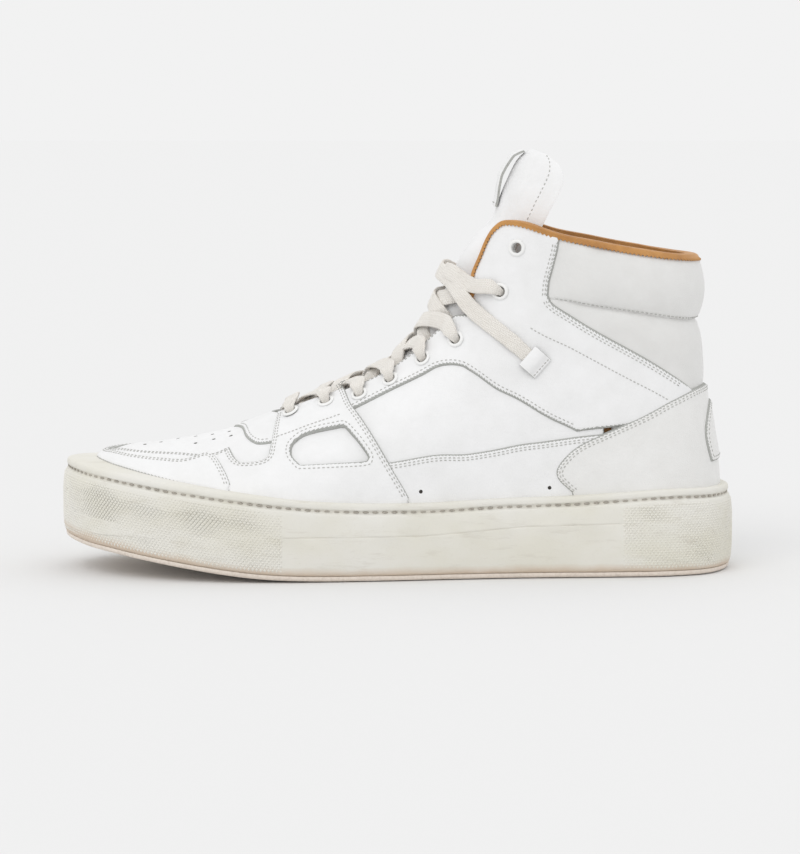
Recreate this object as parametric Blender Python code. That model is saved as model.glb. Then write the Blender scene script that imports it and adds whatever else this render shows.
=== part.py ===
"""High-top basketball shoe for the left foot.

Toe towards -X, heel towards +X, outer (lateral) side towards -Y, ground at z = 0.
Lengths are worked out in millimetres and written to the meshes in metres.
The upper is one smooth surface shell(g, t): g runs from the heel (0) along the outer
side to the toe (1) and back along the inner side to the heel (2), and t runs from
the lasting line inside the cup (0) to the top line or the vamp ridge (1).
"""
import math

import bmesh
import bpy
import numpy as np
from mathutils.geometry import delaunay_2d_cdt

MM = 0.001
LATTICE = 8.0          # spacing of the mesh points on the upper
EDGE_STEP = 6.0        # spacing of the points along a panel's edge

# Leather layers, as distances out from the shell (inner face, outer face)
LINING = (-3.6, -2.0)
STIFFENER = (-1.5, -0.6)
BASE = (0.0, 1.1)
OVERLAY = (1.5, 2.4)
SECOND_OVERLAY = (2.8, 3.7)
THIRD_OVERLAY = (4.3, 5.2)

OUTSOLE_THICKNESS = 2.2
CUP_FLOOR = 6.0
GAP = 0.35

EYELET_HOLE = 2.2
EYELET_BARREL = 2.6
EYELET_FLANGE = 3.8
LEATHER_HOLE = 3.2
LACE_RADIUS = 1.1
TONGUE_CLEARANCE = 6.8

# Stations from the heel to the toe. Each holds: lasting line x, its height, its outer and
# inner half width, top line x, its half width and height, how far the wall leans out and
# rises above the lasting line, how far it leans out and drops below the top line, the
# slope of the ridge, the width of sole outside the lasting line, the height of the cup.
STATIONS = np.array([
    [142.5, 28.0, 0.0, 0.0, 132.5, 0.0, 141.0, 0.5, 28, -3.5, 50, 0.00, 7.8, 37.9],
    [135.0, 28.0, 21.0, 20.5, 126.5, 18.0, 141.5, 1.0, 28, -3.5, 50, 0.00, 7.8, 38.3],
    [118.0, 28.0, 29.5, 28.5, 113.0, 27.5, 143.0, 2.0, 28, -4.0, 48, 0.00, 8.0, 38.6],
    [98.0, 27.0, 31.5, 30.5, 95.0, 30.5, 146.0, 3.0, 28, -4.0, 46, 0.00, 8.5, 37.4],
    [78.0, 26.0, 32.5, 30.5, 77.0, 31.5, 149.5, 4.0, 30, -3.5, 48, 0.00, 9.0, 36.2],
    [60.0, 25.0, 33.5, 30.5, 60.0, 30.0, 156.0, 5.0, 32, -1.0, 55, 0.00, 9.0, 35.6],
    [45.0, 24.5, 35.0, 31.0, 45.0, 24.0, 158.0, 5.5, 34, 4.0, 55, 0.00, 9.0, 35.2],
    [31.0, 24.0, 37.0, 32.0, 32.5, 14.5, 139.0, 6.0, 34, 12.0, 36, 0.00, 9.0, 34.6],
    [15.0, 24.0, 39.5, 33.5, 16.0, 9.0, 113.0, 6.0, 34, 19.0, 16, 0.00, 9.0, 33.9],
    [-3.0, 24.0, 42.5, 36.0, -2.0, 7.5, 94.5, 6.0, 30, 21.0, 7, 0.00, 9.0, 33.9],
    [-22.0, 24.5, 45.0, 39.0, -20.0, 6.0, 83.5, 5.5, 27, 22.0, 3, 0.00, 9.0, 34.3],
    [-41.0, 26.0, 47.0, 42.0, -38.0, 4.5, 76.0, 5.0, 23, 23.0, 2, 0.00, 9.2, 35.5],
    [-60.0, 28.5, 47.5, 43.5, -54.0, 0.0, 68.9, 4.0, 18, 23.0, 1, 0.25, 9.6, 37.6],
    [-79.0, 31.5, 46.0, 43.0, -67.0, 0.0, 63.6, 3.5, 13, 22.0, 0, 0.30, 10.0, 40.2],
    [-98.0, 34.5, 41.5, 39.5, -82.0, 0.0, 59.6, 3.0, 10, 20.0, 0, 0.22, 10.5, 43.0],
    [-115.0, 37.0, 33.0, 33.0, -96.0, 0.0, 56.9, 2.5, 9, 17.0, 0, 0.14, 11.2, 45.8],
    [-129.0, 39.0, 20.0, 23.0, -106.0, 0.0, 55.6, 2.0, 8, 15.0, 0, 0.08, 12.2, 48.0],
    [-137.5, 40.0, -3.0, 3.0, -110.0, 0.0, 55.3, 1.5, 8, 14.0, 0, 0.05, 12.9, 49.2],
])
LAST = len(STATIONS) - 1
RIDGE_START = 12 / LAST   # where the two sides of the upper first meet over the foot
LENGTH = 18.0 * LAST      # length of one side of the shell's flat pattern


def station_loop():
    """The stations once round the shoe, with signed half widths."""
    outer = STATIONS.copy()
    outer[:, [2, 5]] *= -1
    outer[:, 3] = outer[:, 2]
    inner = STATIONS[LAST - 1:0:-1].copy()
    return np.concatenate([outer, inner])


LOOP = station_loop()


def station_at(g):
    """The station values at g, and how they change with g."""
    where = np.mod(g, 2.0) * LAST
    index = np.floor(where).astype(int)
    f = (where - index)[..., None]
    before, here, after, beyond = [LOOP[(index + k) % len(LOOP)] for k in (-1, 0, 1, 2)]
    square = 2 * before - 5 * here + 4 * after - beyond
    cube = 3 * here - before - 3 * after + beyond
    value = 0.5 * (2 * here + (after - before) * f + square * f ** 2 + cube * f ** 3)
    slope = 0.5 * ((after - before) + 2 * square * f + 3 * cube * f ** 2)
    return value, slope


def plan_normal(slope):
    """The level direction straight out from the lasting line."""
    size = np.hypot(slope[..., 0], slope[..., 3])
    return -slope[..., 3] / size, slope[..., 0] / size


def shell(g, t):
    """A point of the shell in millimetres."""
    g, t = np.broadcast_arrays(np.asarray(g, float), np.asarray(t, float))
    value, slope = station_at(g)
    nx, ny = plan_normal(slope)
    outer_side = np.mod(g, 2.0) <= 1.0
    top_y = np.where(outer_side, np.minimum(value[..., 5], 0), np.maximum(value[..., 5], 0))
    low = np.stack([value[..., 0], value[..., 3], value[..., 1]], -1)
    top = np.stack([value[..., 4], top_y, value[..., 6]], -1)
    low_lean, low_rise, top_lean, top_drop, tilt = [value[..., k] for k in range(7, 12)]
    low_arm = low + np.stack([nx * low_lean, ny * low_lean, low_rise], -1)
    top_arm = top + np.stack([nx * top_lean, ny * top_lean, tilt * nx * top_lean - top_drop], -1)
    t = t[..., None]
    s = 1 - t
    return s ** 3 * low + 3 * s * s * t * low_arm + 3 * s * t * t * top_arm + t ** 3 * top


def shell_normal(g, t):
    """The outward direction of the shell."""
    g, t = np.broadcast_arrays(np.asarray(g, float), np.asarray(t, float))
    step = 1e-3
    along = shell(g + step, t) - shell(g - step, t)
    up = shell(g, np.minimum(t + step, 1)) - shell(g, np.maximum(t - step, 0))
    normal = np.cross(up, along)
    size = np.linalg.norm(normal, axis=-1, keepdims=True)
    normal = normal / np.maximum(size, 1e-9)
    folded = np.mod(g, 2.0)
    on_ridge = (t > 0.9995) & (folded > RIDGE_START - 1e-6) & (folded < 2 - RIDGE_START + 1e-6)
    tilt = station_at(g)[0][..., 11]
    ridge = np.stack([-tilt, 0 * tilt, 1 + 0 * tilt], -1)
    ridge = ridge / np.linalg.norm(ridge, axis=-1, keepdims=True)
    return np.where(on_ridge[..., None], ridge, normal)


def on_shell(g, t, offset=0.0):
    offset = np.asarray(offset, float)
    return shell(g, t) + shell_normal(g, t) * offset[..., None]


GRID_G, GRID_T = np.meshgrid(np.linspace(0, 1, 341), np.linspace(0, 1, 161), indexing="ij")
GRID = shell(GRID_G, GRID_T)
WALL_HEIGHT = np.linalg.norm(np.diff(shell(GRID_G, GRID_T), axis=1), axis=-1).sum(1)


def side(x, z):
    """(g, t) of the point of the outer side seen at x and z from the side."""
    away = (GRID[..., 0] - x) ** 2 + (GRID[..., 2] - z) ** 2
    best = np.unravel_index(np.argmin(away), away.shape)
    g, t = GRID_G[best], GRID_T[best]
    for _ in range(5):
        here = shell(g, t)
        along = (shell(g + 1e-4, t) - here) / 1e-4
        up = (here - shell(g, t - 1e-4)) / 1e-4
        det = along[0] * up[2] - along[2] * up[0]
        if abs(det) < 1e-6:
            break
        dx, dz = x - here[0], z - here[2]
        g += float(np.clip((dx * up[2] - dz * up[0]) / det, -0.02, 0.02))
        t = float(np.clip(t + np.clip((along[0] * dz - along[2] * dx) / det, -0.05, 0.05), 0, 1))
    return (float(g), float(t))


def flatten(points):
    """(g, t) to the flat pattern, in millimetres."""
    points = np.asarray(points, float)
    folded = 1 - np.abs(1 - np.mod(points[..., 0], 2.0))
    height = np.interp(folded, GRID_G[:, 0], WALL_HEIGHT)
    return np.stack([points[..., 0] * LENGTH, points[..., 1] * height], -1)


def unflatten(points):
    points = np.asarray(points, float)
    g = points[..., 0] / LENGTH
    folded = 1 - np.abs(1 - np.mod(g, 2.0))
    height = np.interp(folded, GRID_G[:, 0], WALL_HEIGHT)
    return np.stack([g, points[..., 1] / height], -1)


def mirrored(points):
    """The same outline on the inner side of the shoe."""
    return [(2 - g, t) for g, t in reversed(points)]


def smooth(points):
    """A smooth run of pattern points through these (g, t) points."""
    flat = flatten(points)
    if len(flat) == 2:
        count = max(1, round(math.dist(flat[0], flat[1]) / EDGE_STEP))
        return [flat[0] + (flat[1] - flat[0]) * k / count for k in range(count + 1)]
    padded = np.concatenate([[2 * flat[0] - flat[1]], flat, [2 * flat[-1] - flat[-2]]])
    run = []
    for i in range(len(flat) - 1):
        a, b, c, d = padded[i:i + 4]
        count = max(1, round(math.dist(b, c) / EDGE_STEP))
        for k in range(count):
            f = k / count
            run.append(0.5 * (2 * b + (c - a) * f + (2 * a - 5 * b + 4 * c - d) * f ** 2
                              + (3 * b - a - 3 * c + d) * f ** 3))
    run.append(flat[-1])
    return run


def outline(*runs):
    """A closed pattern outline from smooth runs that share their corners."""
    ring = []
    for run in runs:
        for point in smooth(run):
            if not ring or math.dist(ring[-1], point) > 0.3:
                ring.append(point)
    if math.dist(ring[0], ring[-1]) < 0.3:
        ring.pop()
    return np.array(ring)


def inside(points, ring):
    """Which points lie inside the ring."""
    x, y = points[:, 0][:, None], points[:, 1][:, None]
    x0, y0 = ring[:, 0], ring[:, 1]
    x1, y1 = np.roll(x0, -1), np.roll(y0, -1)
    crosses = (y0 <= y) != (y1 <= y)
    at = x0 + (y - y0) * (x1 - x0) / np.where(y1 == y0, 1e-12, y1 - y0)
    return (crosses & (x < at)).sum(1) % 2 == 1


def distance_to(points, ring):
    """How far each point lies from the ring's edge."""
    a, b = ring, np.roll(ring, -1, axis=0)
    span = b - a
    f = ((points[:, None] - a) * span).sum(-1) / np.maximum((span ** 2).sum(-1), 1e-12)
    nearest = a + np.clip(f, 0, 1)[..., None] * span
    return np.linalg.norm(points[:, None] - nearest, axis=-1).min(1)


def pattern_triangles(ring, holes=()):
    """Points and triangles of a flat pattern piece."""
    columns = round(2 * LENGTH / LATTICE / 2) * 2
    pitch = 2 * LENGTH / columns
    low, high = ring.min(0), ring.max(0)
    lattice = []
    for i in range(math.floor(low[0] / pitch), math.ceil(high[0] / pitch) + 1):
        for j in range(math.floor(low[1] / LATTICE) - 1, math.ceil(high[1] / LATTICE) + 1):
            lattice.append((i * pitch, (j + 0.5 * (i % 2) + 0.25) * LATTICE))
    lattice = np.array(lattice)
    keep = inside(lattice, ring) & (distance_to(lattice, ring) > 0.42 * LATTICE)
    for hole in holes:
        keep &= ~inside(lattice, hole) & (distance_to(lattice, hole) > 0.3 * LATTICE)
    lattice = lattice[keep]
    points = [tuple(p) for p in ring]
    edges = [(k, (k + 1) % len(ring)) for k in range(len(ring))]
    for hole in holes:
        start = len(points)
        points += [tuple(p) for p in hole]
        edges += [(start + k, start + (k + 1) % len(hole)) for k in range(len(hole))]
    points += [tuple(p) for p in lattice]
    result = delaunay_2d_cdt(points, edges, [], 0, 1e-5)
    flat = np.array([tuple(p) for p in result[0]])
    faces = np.array([f for f in result[2] if len(f) == 3])
    middle = flat[faces].mean(1)
    keep = inside(middle, ring)
    for hole in holes:
        keep &= ~inside(middle, hole)
    return flat, faces[keep]


def pattern_place(flat):
    """g and t of pattern points, with those on the fold exactly on the ridge."""
    gt = unflatten(flat)
    g, t = gt[:, 0], np.clip(gt[:, 1], 0, 1)
    folded = 1 - np.abs(1 - np.mod(g, 2.0))
    return g, np.where((t > 0.965) & (folded > RIDGE_START + 0.001), 1.0, t)


def material(name, colour, roughness, metallic=0.0):
    mat = bpy.data.materials.new(name)
    mat.use_nodes = True
    shader = mat.node_tree.nodes["Principled BSDF"]
    shader.inputs["Base Color"].default_value = (*colour, 1.0)
    shader.inputs["Roughness"].default_value = roughness
    shader.inputs["Metallic"].default_value = metallic
    return mat


WHITE = (0.86, 0.86, 0.85)
TAN = (0.62, 0.33, 0.10)
RUBBER = (0.72, 0.70, 0.61)
COTTON = (0.82, 0.77, 0.68)


def make_object(name, points, faces, colour, roughness, origin=(0, 0, 0)):
    """A solid from points in millimetres, with its origin at a point in millimetres."""
    mesh = bpy.data.meshes.new(name)
    bm = bmesh.new()
    shift = np.array(origin, float)
    verts = [bm.verts.new((np.asarray(p, float) - shift) * MM) for p in points]
    for face in faces:
        if len(set(face)) == len(face):
            try:
                bm.faces.new([verts[k] for k in face])
            except ValueError:
                pass
    bmesh.ops.remove_doubles(bm, verts=bm.verts, dist=2e-6)
    bmesh.ops.dissolve_degenerate(bm, edges=bm.edges, dist=1e-7)
    bmesh.ops.triangulate(bm, faces=bm.faces)
    bmesh.ops.recalc_face_normals(bm, faces=bm.faces)
    bm.to_mesh(mesh)
    bm.free()
    obj = bpy.data.objects.new(name, mesh)
    obj.location = shift * MM
    mesh.materials.append(material(name, colour, roughness))
    bpy.context.scene.collection.objects.link(obj)
    return obj


def panel(name, ring, layer, colour=WHITE, holes=(), outer=None, roughness=0.5):
    """A leather piece: a pattern laid on the shell between two offsets."""
    flat, faces = pattern_triangles(ring, holes)
    g, t = pattern_place(flat)
    count = len(flat)
    high = np.full(count, layer[1]) if outer is None else outer(g, t)
    points = np.concatenate([on_shell(g, t, np.full(count, layer[0])), on_shell(g, t, high)])
    solid = [tuple(f) for f in faces] + [tuple(f[::-1] + count) for f in faces]
    uses = {}
    for a, b, c in faces:
        for edge in ((a, b), (b, c), (c, a)):
            uses.setdefault(frozenset(edge), []).append(edge)
    for pair in uses.values():
        if len(pair) > 1:
            continue
        a, b = pair[0]
        if min(t[a], t[b]) > 0.9995 and RIDGE_START < min(g[a] % 2, g[b] % 2) + 1e-4:
            if max(g[a], g[b]) < 2 - RIDGE_START + 1e-4:
                continue
        if max(abs(g[a]), abs(g[b])) < 1e-6 or max(abs(g[a] - 2), abs(g[b] - 2)) < 1e-6:
            continue
        solid.append((b, a, a + count, b + count))
    return make_object(name, points, solid, colour, roughness)


# ---------------------------------------------------------------- lines on the upper
HEEL_TOP = (0.0, 0.992)
COLLAR = [side(x, z) for x, z in (
    (47.9, 155.6), (52.6, 155.6), (59.2, 154.1), (72.6, 149.6),
    (86.1, 147.0), (107.4, 143.1), (120.4, 141.1))]
FLAP_FRONT = [side(x, z) for x, z in (
    (33.9, 121.3), (34.6, 131.2), (38.4, 141.4), (41.7, 149.3), (45.0, 153.9), (47.9, 155.6))]
NOTCH = side(38.2, 113.6)
FACING_TOP = [side(26.2, 113.9), side(23.8, 111.8)]
FACING = [FACING_TOP[-1], (0.489, 0.865), (0.535, 0.865), (0.580, 0.86), (0.612, 0.865)]
FACING_FRONT = [(0.612, 0.865), (0.66, 0.87), (0.700, 0.875)]
WINDOW_TOP = [side(x, z) for x, z in (
    (-16.5, 73.6), (-3.0, 80.5), (10.5, 87.2), (17.2, 91.0), (22.0, 92.3), (27.4, 92.2),
    (32.0, 90.2), (50.8, 79.1), (69.6, 68.4), (77.8, 62.8))]
LOWER_TOP = [side(x, z) for x, z in (
    (-25.0, 49.0), (-3.0, 51.1), (24.4, 54.4), (50.7, 58.0), (77.8, 61.6), (93.5, 64.8))]
COUNTER_TOP = [side(x, z) for x, z in ((93.4, 64.4), (106.8, 70.3), (120.2, 77.2), (129.6, 81.4))]
COUNTER_FRONT = [side(x, z) for x, z in (
    (76.3, 37.4), (70.7, 42.6), (69.5, 47.0), (72.5, 52.1), (79.5, 58.1), (93.4, 64.4))]
QUARTER_REAR = [side(x, z) for x, z in (
    (-24.4, 80.9), (-20.5, 75.3), (-16.0, 69.4), (-5.1, 52.9), (2.2, 40.8), (4.8, 36.2))]
COLLAR_FRONT = [side(x, z) for x, z in (
    (71.3, 149.9), (70.1, 142.8), (68.4, 136.1), (66.7, 129.4), (66.2, 123.8))]
ANKLE_EDGE = [side(x, z) for x, z in (
    (66.2, 123.8), (69.1, 119.5), (85.2, 109.4), (105.5, 98.1), (127.0, 83.5))]
QUARTER_FRONT = [side(x, z) for x, z in (
    (-54.4, 62.4), (-55.6, 56.0), (-57.7, 51.3), (-67.1, 49.8), (-70.8, 51.0), (-74.1, 55.3))]
WING_TOP = [QUARTER_FRONT[-1], (0.793, 0.54), (0.845, 0.585), (0.915, 0.63)]
GUARD_REAR = [side(x, z) for x, z in (
    (-84.2, 52.5), (-80.4, 51.7), (-77.3, 49.0), (-74.1, 44.4), (-72.5, 40.8))]
GUARD_TOP = [(0.93, 0.53), (0.862, 0.493), (0.823, 0.476), GUARD_REAR[0]]
D_WINDOW = [side(x, z) for x, z in (
    (-42.5, 49.6), (-45.9, 53.0), (-46.0, 56.5), (-44.2, 58.7), (-40.9, 60.9), (-33.8, 63.0),
    (-26.7, 64.6), (-23.3, 65.1), (-20.9, 63.0), (-17.1, 59.0), (-12.8, 53.1), (-13.3, 51.7),
    (-21.8, 50.8))]
THROAT = [(0.766, 0.846), (0.749, 0.688), (0.733, 0.602), (0.718, 0.562), (0.690, 0.553)]
EYELETS = [(0.675, 0.78), (0.626, 0.775), (0.579, 0.75), (0.535, 0.77), (0.489, 0.771),
           (0.438, 0.735), (0.351, 0.792), (0.321, 0.917)]
VENTS = [side(9.9, 38.6), side(66.7, 39.6)]


def above_cup(g, rise=0.8):
    """t just above the top edge of the cup."""
    value = station_at(np.array(g))[0]
    ts = np.linspace(0, 0.6, 400)
    heights = shell(np.full(400, g), ts)[:, 2]
    return float(np.interp(value[13] + rise, heights, ts))


def cup_line(start, end, count=9):
    """Points along the top edge of the cup."""
    return [(g, above_cup(g)) for g in np.linspace(start, end, count)]


def round_hole(centre, radius, sides=8):
    """A hole in a pattern, round on the shoe."""
    g, t = centre
    step = 1e-3
    along = (shell(g + step, t) - shell(g - step, t)) / (2 * step)
    up = (shell(g, t + step) - shell(g, t - step)) / (2 * step)
    first = along / np.linalg.norm(along)
    second = up - first * (up @ first)
    second = second / np.linalg.norm(second)
    spots = []
    for k in range(sides):
        turn = 2 * math.pi * (k + 0.5) / sides
        spoke = (first * math.cos(turn) + second * math.sin(turn)) * radius
        move = np.linalg.lstsq(np.stack([along, up], 1), spoke, rcond=None)[0]
        spots.append((g + move[0], t + move[1]))
    return flatten(spots)


EYELET_HOLES = [round_hole(centre, LEATHER_HOLE) for centre in EYELETS]
FOLD = [(RIDGE_START + 0.006, 1.0), (0.765, 1.0), (0.824, 1.0), (0.882, 1.0), (1.0, 1.0)]


def over_ridge(first):
    """The fold along the vamp ridge, from the outer side to the inner and in that order."""
    near = [first] + [p for p in FOLD if p[0] > first[0] + 0.01]
    return [(2 - g, t) for g, t in near], near[::-1]


def both_sides(build, name, ring, layer, holes=(), **options):
    """The piece on the outer side and the same pattern on the inner side."""
    build(name + "_lateral", ring, layer, holes=holes, **options)
    across = np.array([2 * LENGTH, 0])
    build(name + "_medial", across - ring[::-1] * (1, -1), layer,
          holes=[across - hole[::-1] * (1, -1) for hole in holes], **options)


def clear_scene():
    for obj in list(bpy.data.objects):
        bpy.data.objects.remove(obj)


# ---------------------------------------------------------------- upper
def build_lining():
    """One sock of soft leather from the lasting line to the tan top edge."""
    lifted = [(g, min(t + 0.008, 0.999)) for g, t in COLLAR]
    flap = [(g - 0.002, t + 0.006) for g, t in FLAP_FRONT]
    flap[-1] = lifted[0]
    low = [(g, t - 0.012) for g, t in FACING]
    front = [(0.612, 0.853), (0.66, 0.858), (0.700, 0.862), (RIDGE_START + 0.006, 1.0)]
    inner_fold, outer_fold = over_ridge(FOLD[0])
    top = [
        [(0.0, 0.999)] + lifted[::-1],
        flap[::-1],
        [flap[0], (NOTCH[0], NOTCH[1] - 0.01), (FACING_TOP[0][0], FACING_TOP[0][1] - 0.012)],
        [(FACING_TOP[0][0], FACING_TOP[0][1] - 0.012), low[0]],
        low,
        front,
    ]
    top[4][0] = top[3][-1]
    medial_top = [mirrored(run) for run in reversed(top)]
    ring = outline(
        [(2.0, 0.0), (0.0, 0.0)],
        [(0.0, 0.0), (0.0, 0.999)],
        *top,
        outer_fold[::-1],
        inner_fold[::-1],
        *medial_top,
        [(2.0, 0.999), (2.0, 0.0)],
    )
    across = np.array([2 * LENGTH, 0])
    wide = [round_hole(centre, LEATHER_HOLE + 0.9) for centre in EYELETS]
    holes = wide + [across - hole[::-1] * (1, -1) for hole in wide]
    panel("lining", ring, LINING, TAN, holes=holes, roughness=0.6)


def build_upper():
    inner_fold, outer_fold = over_ridge(FOLD[0])
    panel("vamp", outline(
        [(0.688, 0.0), (1.312, 0.0)],
        [(1.312, 0.0), (1.312, 0.80), (2 - FOLD[0][0], 1.0)],
        inner_fold, outer_fold,
        [FOLD[0], (0.688, 0.80), (0.688, 0.0)]), BASE)
    inner_fold, outer_fold = over_ridge((0.86, 1.0))
    panel("toe_puff", outline(
        [(0.83, 0.34), (0.89, 0.34), (0.94, 0.34), (1.0, 0.34), (1.06, 0.34), (1.11, 0.34), (1.17, 0.34)],
        [(1.17, 0.34), (1.15, 0.6), (1.14, 1.0)],
        inner_fold, outer_fold,
        [(0.86, 1.0), (0.85, 0.6), (0.83, 0.34)]), STIFFENER, (0.45, 0.40, 0.32), roughness=0.9)
    tip = (0.79, 1.0)
    ring = outline(
        [(1.312, 0.83), (1.312, 0.555)],
        [(1.312, 0.555)] + [(2 - g, t) for g, t in THROAT[3::-1]] + [(2 - tip[0], 1.0)],
        [(2 - tip[0], 1.0), (2 - 0.765, 1.0), (2 - FOLD[0][0], 1.0)],
        [(2 - FOLD[0][0], 1.0), (1.312, 0.83)])
    lateral = np.array([2 * LENGTH, 0]) - ring[::-1] * (1, -1)
    throat_piece(lateral, ring)
    panel("ankle_panel", outline(
        [(0.185, 0.0), (-0.185, 0.0)],
        [(-0.185, 0.0), (-0.185, 0.45)],
        [(-0.185, 0.45), (-0.22, 0.655), (-0.278, 0.735)],
        [(-0.278, 0.735), (-0.282, 0.772)],
        [(-0.282, 0.772), (-0.2, 0.772), (-0.1, 0.776), (0.0, 0.778), (0.1, 0.776), (0.2, 0.772),
         (0.282, 0.772)],
        [(0.282, 0.772), (0.278, 0.735)],
        [(0.278, 0.735), (0.22, 0.655), (0.185, 0.45)],
        [(0.185, 0.45), (0.185, 0.0)]), BASE)
    panel("heel_stiffener", outline(
        [(0.22, 0.03), (-0.22, 0.03)],
        [(-0.22, 0.03), (-0.20, 0.25), (-0.12, 0.42), (0.0, 0.5), (0.12, 0.42), (0.20, 0.25),
         (0.22, 0.03)]), STIFFENER, (0.45, 0.40, 0.32), roughness=0.9)
    both_sides(panel, "side_panel", outline(
        [(0.678, 0.0), (0.195, 0.0)],
        [(0.195, 0.0), (0.195, 0.42)],
        [(0.195, 0.42), (0.25, 0.44), (0.31, 0.51), (0.40, 0.63), (0.45, 0.71), (0.50, 0.72),
         (0.58, 0.70), (0.678, 0.66)],
        [(0.678, 0.66), (0.678, 0.0)]), BASE)
    lower = [(0.612, LOWER_TOP[0][1])] + LOWER_TOP[1:-1] + [(0.178, 0.362)]
    both_sides(panel, "lower_side_panel", outline(
        lower,
        [(0.178, 0.362), (0.225, 0.27), (0.242, 0.20), (0.225, above_cup(0.225))],
        cup_line(0.225, 0.612),
        [(0.612, above_cup(0.612)), lower[0]]), OVERLAY, holes=[round_hole(v, 1.3, 6) for v in VENTS])
    both_sides(panel, "eyestay_quarter", outline(
        FACING[::-1],
        [FACING_TOP[1], FACING_TOP[0]],
        [FACING_TOP[0], NOTCH],
        [NOTCH, FLAP_FRONT[0]],
        FLAP_FRONT,
        COLLAR[:3] + [COLLAR_FRONT[0]],
        COLLAR_FRONT,
        ANKLE_EDGE + [(0.055, 0.535)],
        [(0.055, 0.535), (0.09, 0.47), (0.13, 0.41), (0.182, 0.383)],
        [(0.182, 0.383), (0.205, 0.374), (0.232, 0.362)],
        [(0.232, 0.362)] + WINDOW_TOP[::-1][1:] + [(0.612, 0.64)],
        [(0.612, 0.64), FACING[-1]]), OVERLAY, holes=EYELET_HOLES[2:])
    toe_edge = (0.992, 0.58)
    both_sides(panel, "front_quarter", outline(
        FACING_FRONT[::-1] + [(QUARTER_REAR[0][0], 0.864)],
        [(QUARTER_REAR[0][0], 0.864)] + QUARTER_REAR,
        cup_line(QUARTER_REAR[-1][0], 0.885, 13),
        [(0.885, above_cup(0.885)), (0.94, 0.38), (0.992, 0.42)],
        [(0.992, 0.42), toe_edge],
        [toe_edge] + WING_TOP[::-1],
        QUARTER_FRONT[::-1] + [FACING_FRONT[-1]]),
        SECOND_OVERLAY, holes=EYELET_HOLES[:2] + [outline(D_WINDOW + [D_WINDOW[0]])])
    panel("toe_mudguard", guard_ring(), THIRD_OVERLAY)
    heel_top = (0.0, 0.556)
    panel("heel_counter_cover", outline(
        cup_line(COUNTER_FRONT[0][0], -COUNTER_FRONT[0][0], 17),
        [(-g, t) for g, t in COUNTER_FRONT],
        [(-g, t) for g, t in COUNTER_TOP] + [heel_top] + COUNTER_TOP[::-1],
        COUNTER_FRONT[::-1]), SECOND_OVERLAY)
    panel("heel_patch", outline(
        [(0.045, 0.23), (-0.045, 0.23)],
        [(-0.045, 0.23), (-0.05, 0.36), (-0.028, 0.46), (0.0, 0.49), (0.028, 0.46), (0.05, 0.36),
         (0.045, 0.23)]), THIRD_OVERLAY)


def guard_ring():
    """Outline of the piece that wraps the toe just above the cup."""
    inner = [(2 - g, t) for g, t in GUARD_REAR]
    start = GUARD_REAR[-1][0]
    return outline(
        cup_line(start, 2 - start, 19),
        inner[::-1],
        [(2 - g, t) for g, t in GUARD_TOP[::-1]] + [(1.0, 0.52)] + GUARD_TOP,
        GUARD_REAR)


def throat_piece(lateral, medial):
    """The curved piece at the foot of the lacing: two halves joined on the ridge."""
    points = []
    solid = []
    for ring in (lateral, medial):
        flat, faces = pattern_triangles(ring)
        g, t = pattern_place(flat)
        start, count = len(points), len(flat)
        points += list(on_shell(g, t, np.full(count, OVERLAY[0])))
        points += list(on_shell(g, t, np.full(count, OVERLAY[1])))
        solid += [tuple(f + start) for f in faces] + [tuple(f[::-1] + start + count) for f in faces]
        uses = {}
        for a, b, c in faces:
            for edge in ((a, b), (b, c), (c, a)):
                uses.setdefault(frozenset(edge), []).append(edge)
        for pair in uses.values():
            a, b = pair[0]
            if len(pair) == 1 and min(t[a], t[b]) < 0.9995:
                solid.append((b + start, a + start, a + start + count, b + start + count))
    make_object("throat_overlay", points, solid, WHITE, 0.5)


def build_collar():
    """Foam-filled collar, thick in the middle and thin where the flap laps over it."""
    def outer(g, t):
        folded = np.abs(g)
        up = np.clip((t - 0.795) / 0.195, 0, 1)
        back = np.clip((0.243 - folded) / 0.05, 0, 1)
        swell = np.sqrt(np.clip(np.sin(math.pi * np.clip(up, 0.0, 1.0)), 0, 1))
        return BASE[1] + 4.6 * swell * (back * back * (3 - 2 * back))

    front = [(0.283, 0.80), (0.281, 0.86), (0.275, 0.93), (0.268, 0.975)]
    top = [COLLAR[3], COLLAR[4], COLLAR[5], COLLAR[6]]
    panel("collar_pad", outline(
        [(0.283, 0.80), (0.2, 0.793), (0.1, 0.797), (0.0, 0.797), (-0.1, 0.797), (-0.2, 0.793),
         (-0.283, 0.80)],
        [(-g, t) for g, t in front],
        [(-0.268, 0.975)] + [(-g, t) for g, t in top] + [HEEL_TOP] + top[::-1] + [(0.268, 0.975)],
        front[::-1]), BASE, outer=outer)


# ---------------------------------------------------------------- sole
def ring_points(inset, height, count=72):
    """A level ring round the sole: out from the lasting line, at a height for each g."""
    g = np.arange(count) * 2.0 / count
    value, slope = station_at(g)
    nx, ny = plan_normal(slope)
    out = inset(g, value) if callable(inset) else inset
    z = height(g, value) if callable(height) else height
    return np.stack([value[:, 0] + nx * out, value[:, 3] + ny * out, z + 0 * nx], -1)


def ladder(count, start, flip):
    """A cap made of rungs from one side of the ring to the other."""
    faces = []
    half = count // 2
    for k in range(half):
        quad = [start + k, start + k + 1, start + (count - k - 1) % count, start + (count - k) % count]
        quad = list(dict.fromkeys(quad))
        faces.append(quad[::-1] if flip else quad)
    return faces


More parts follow.
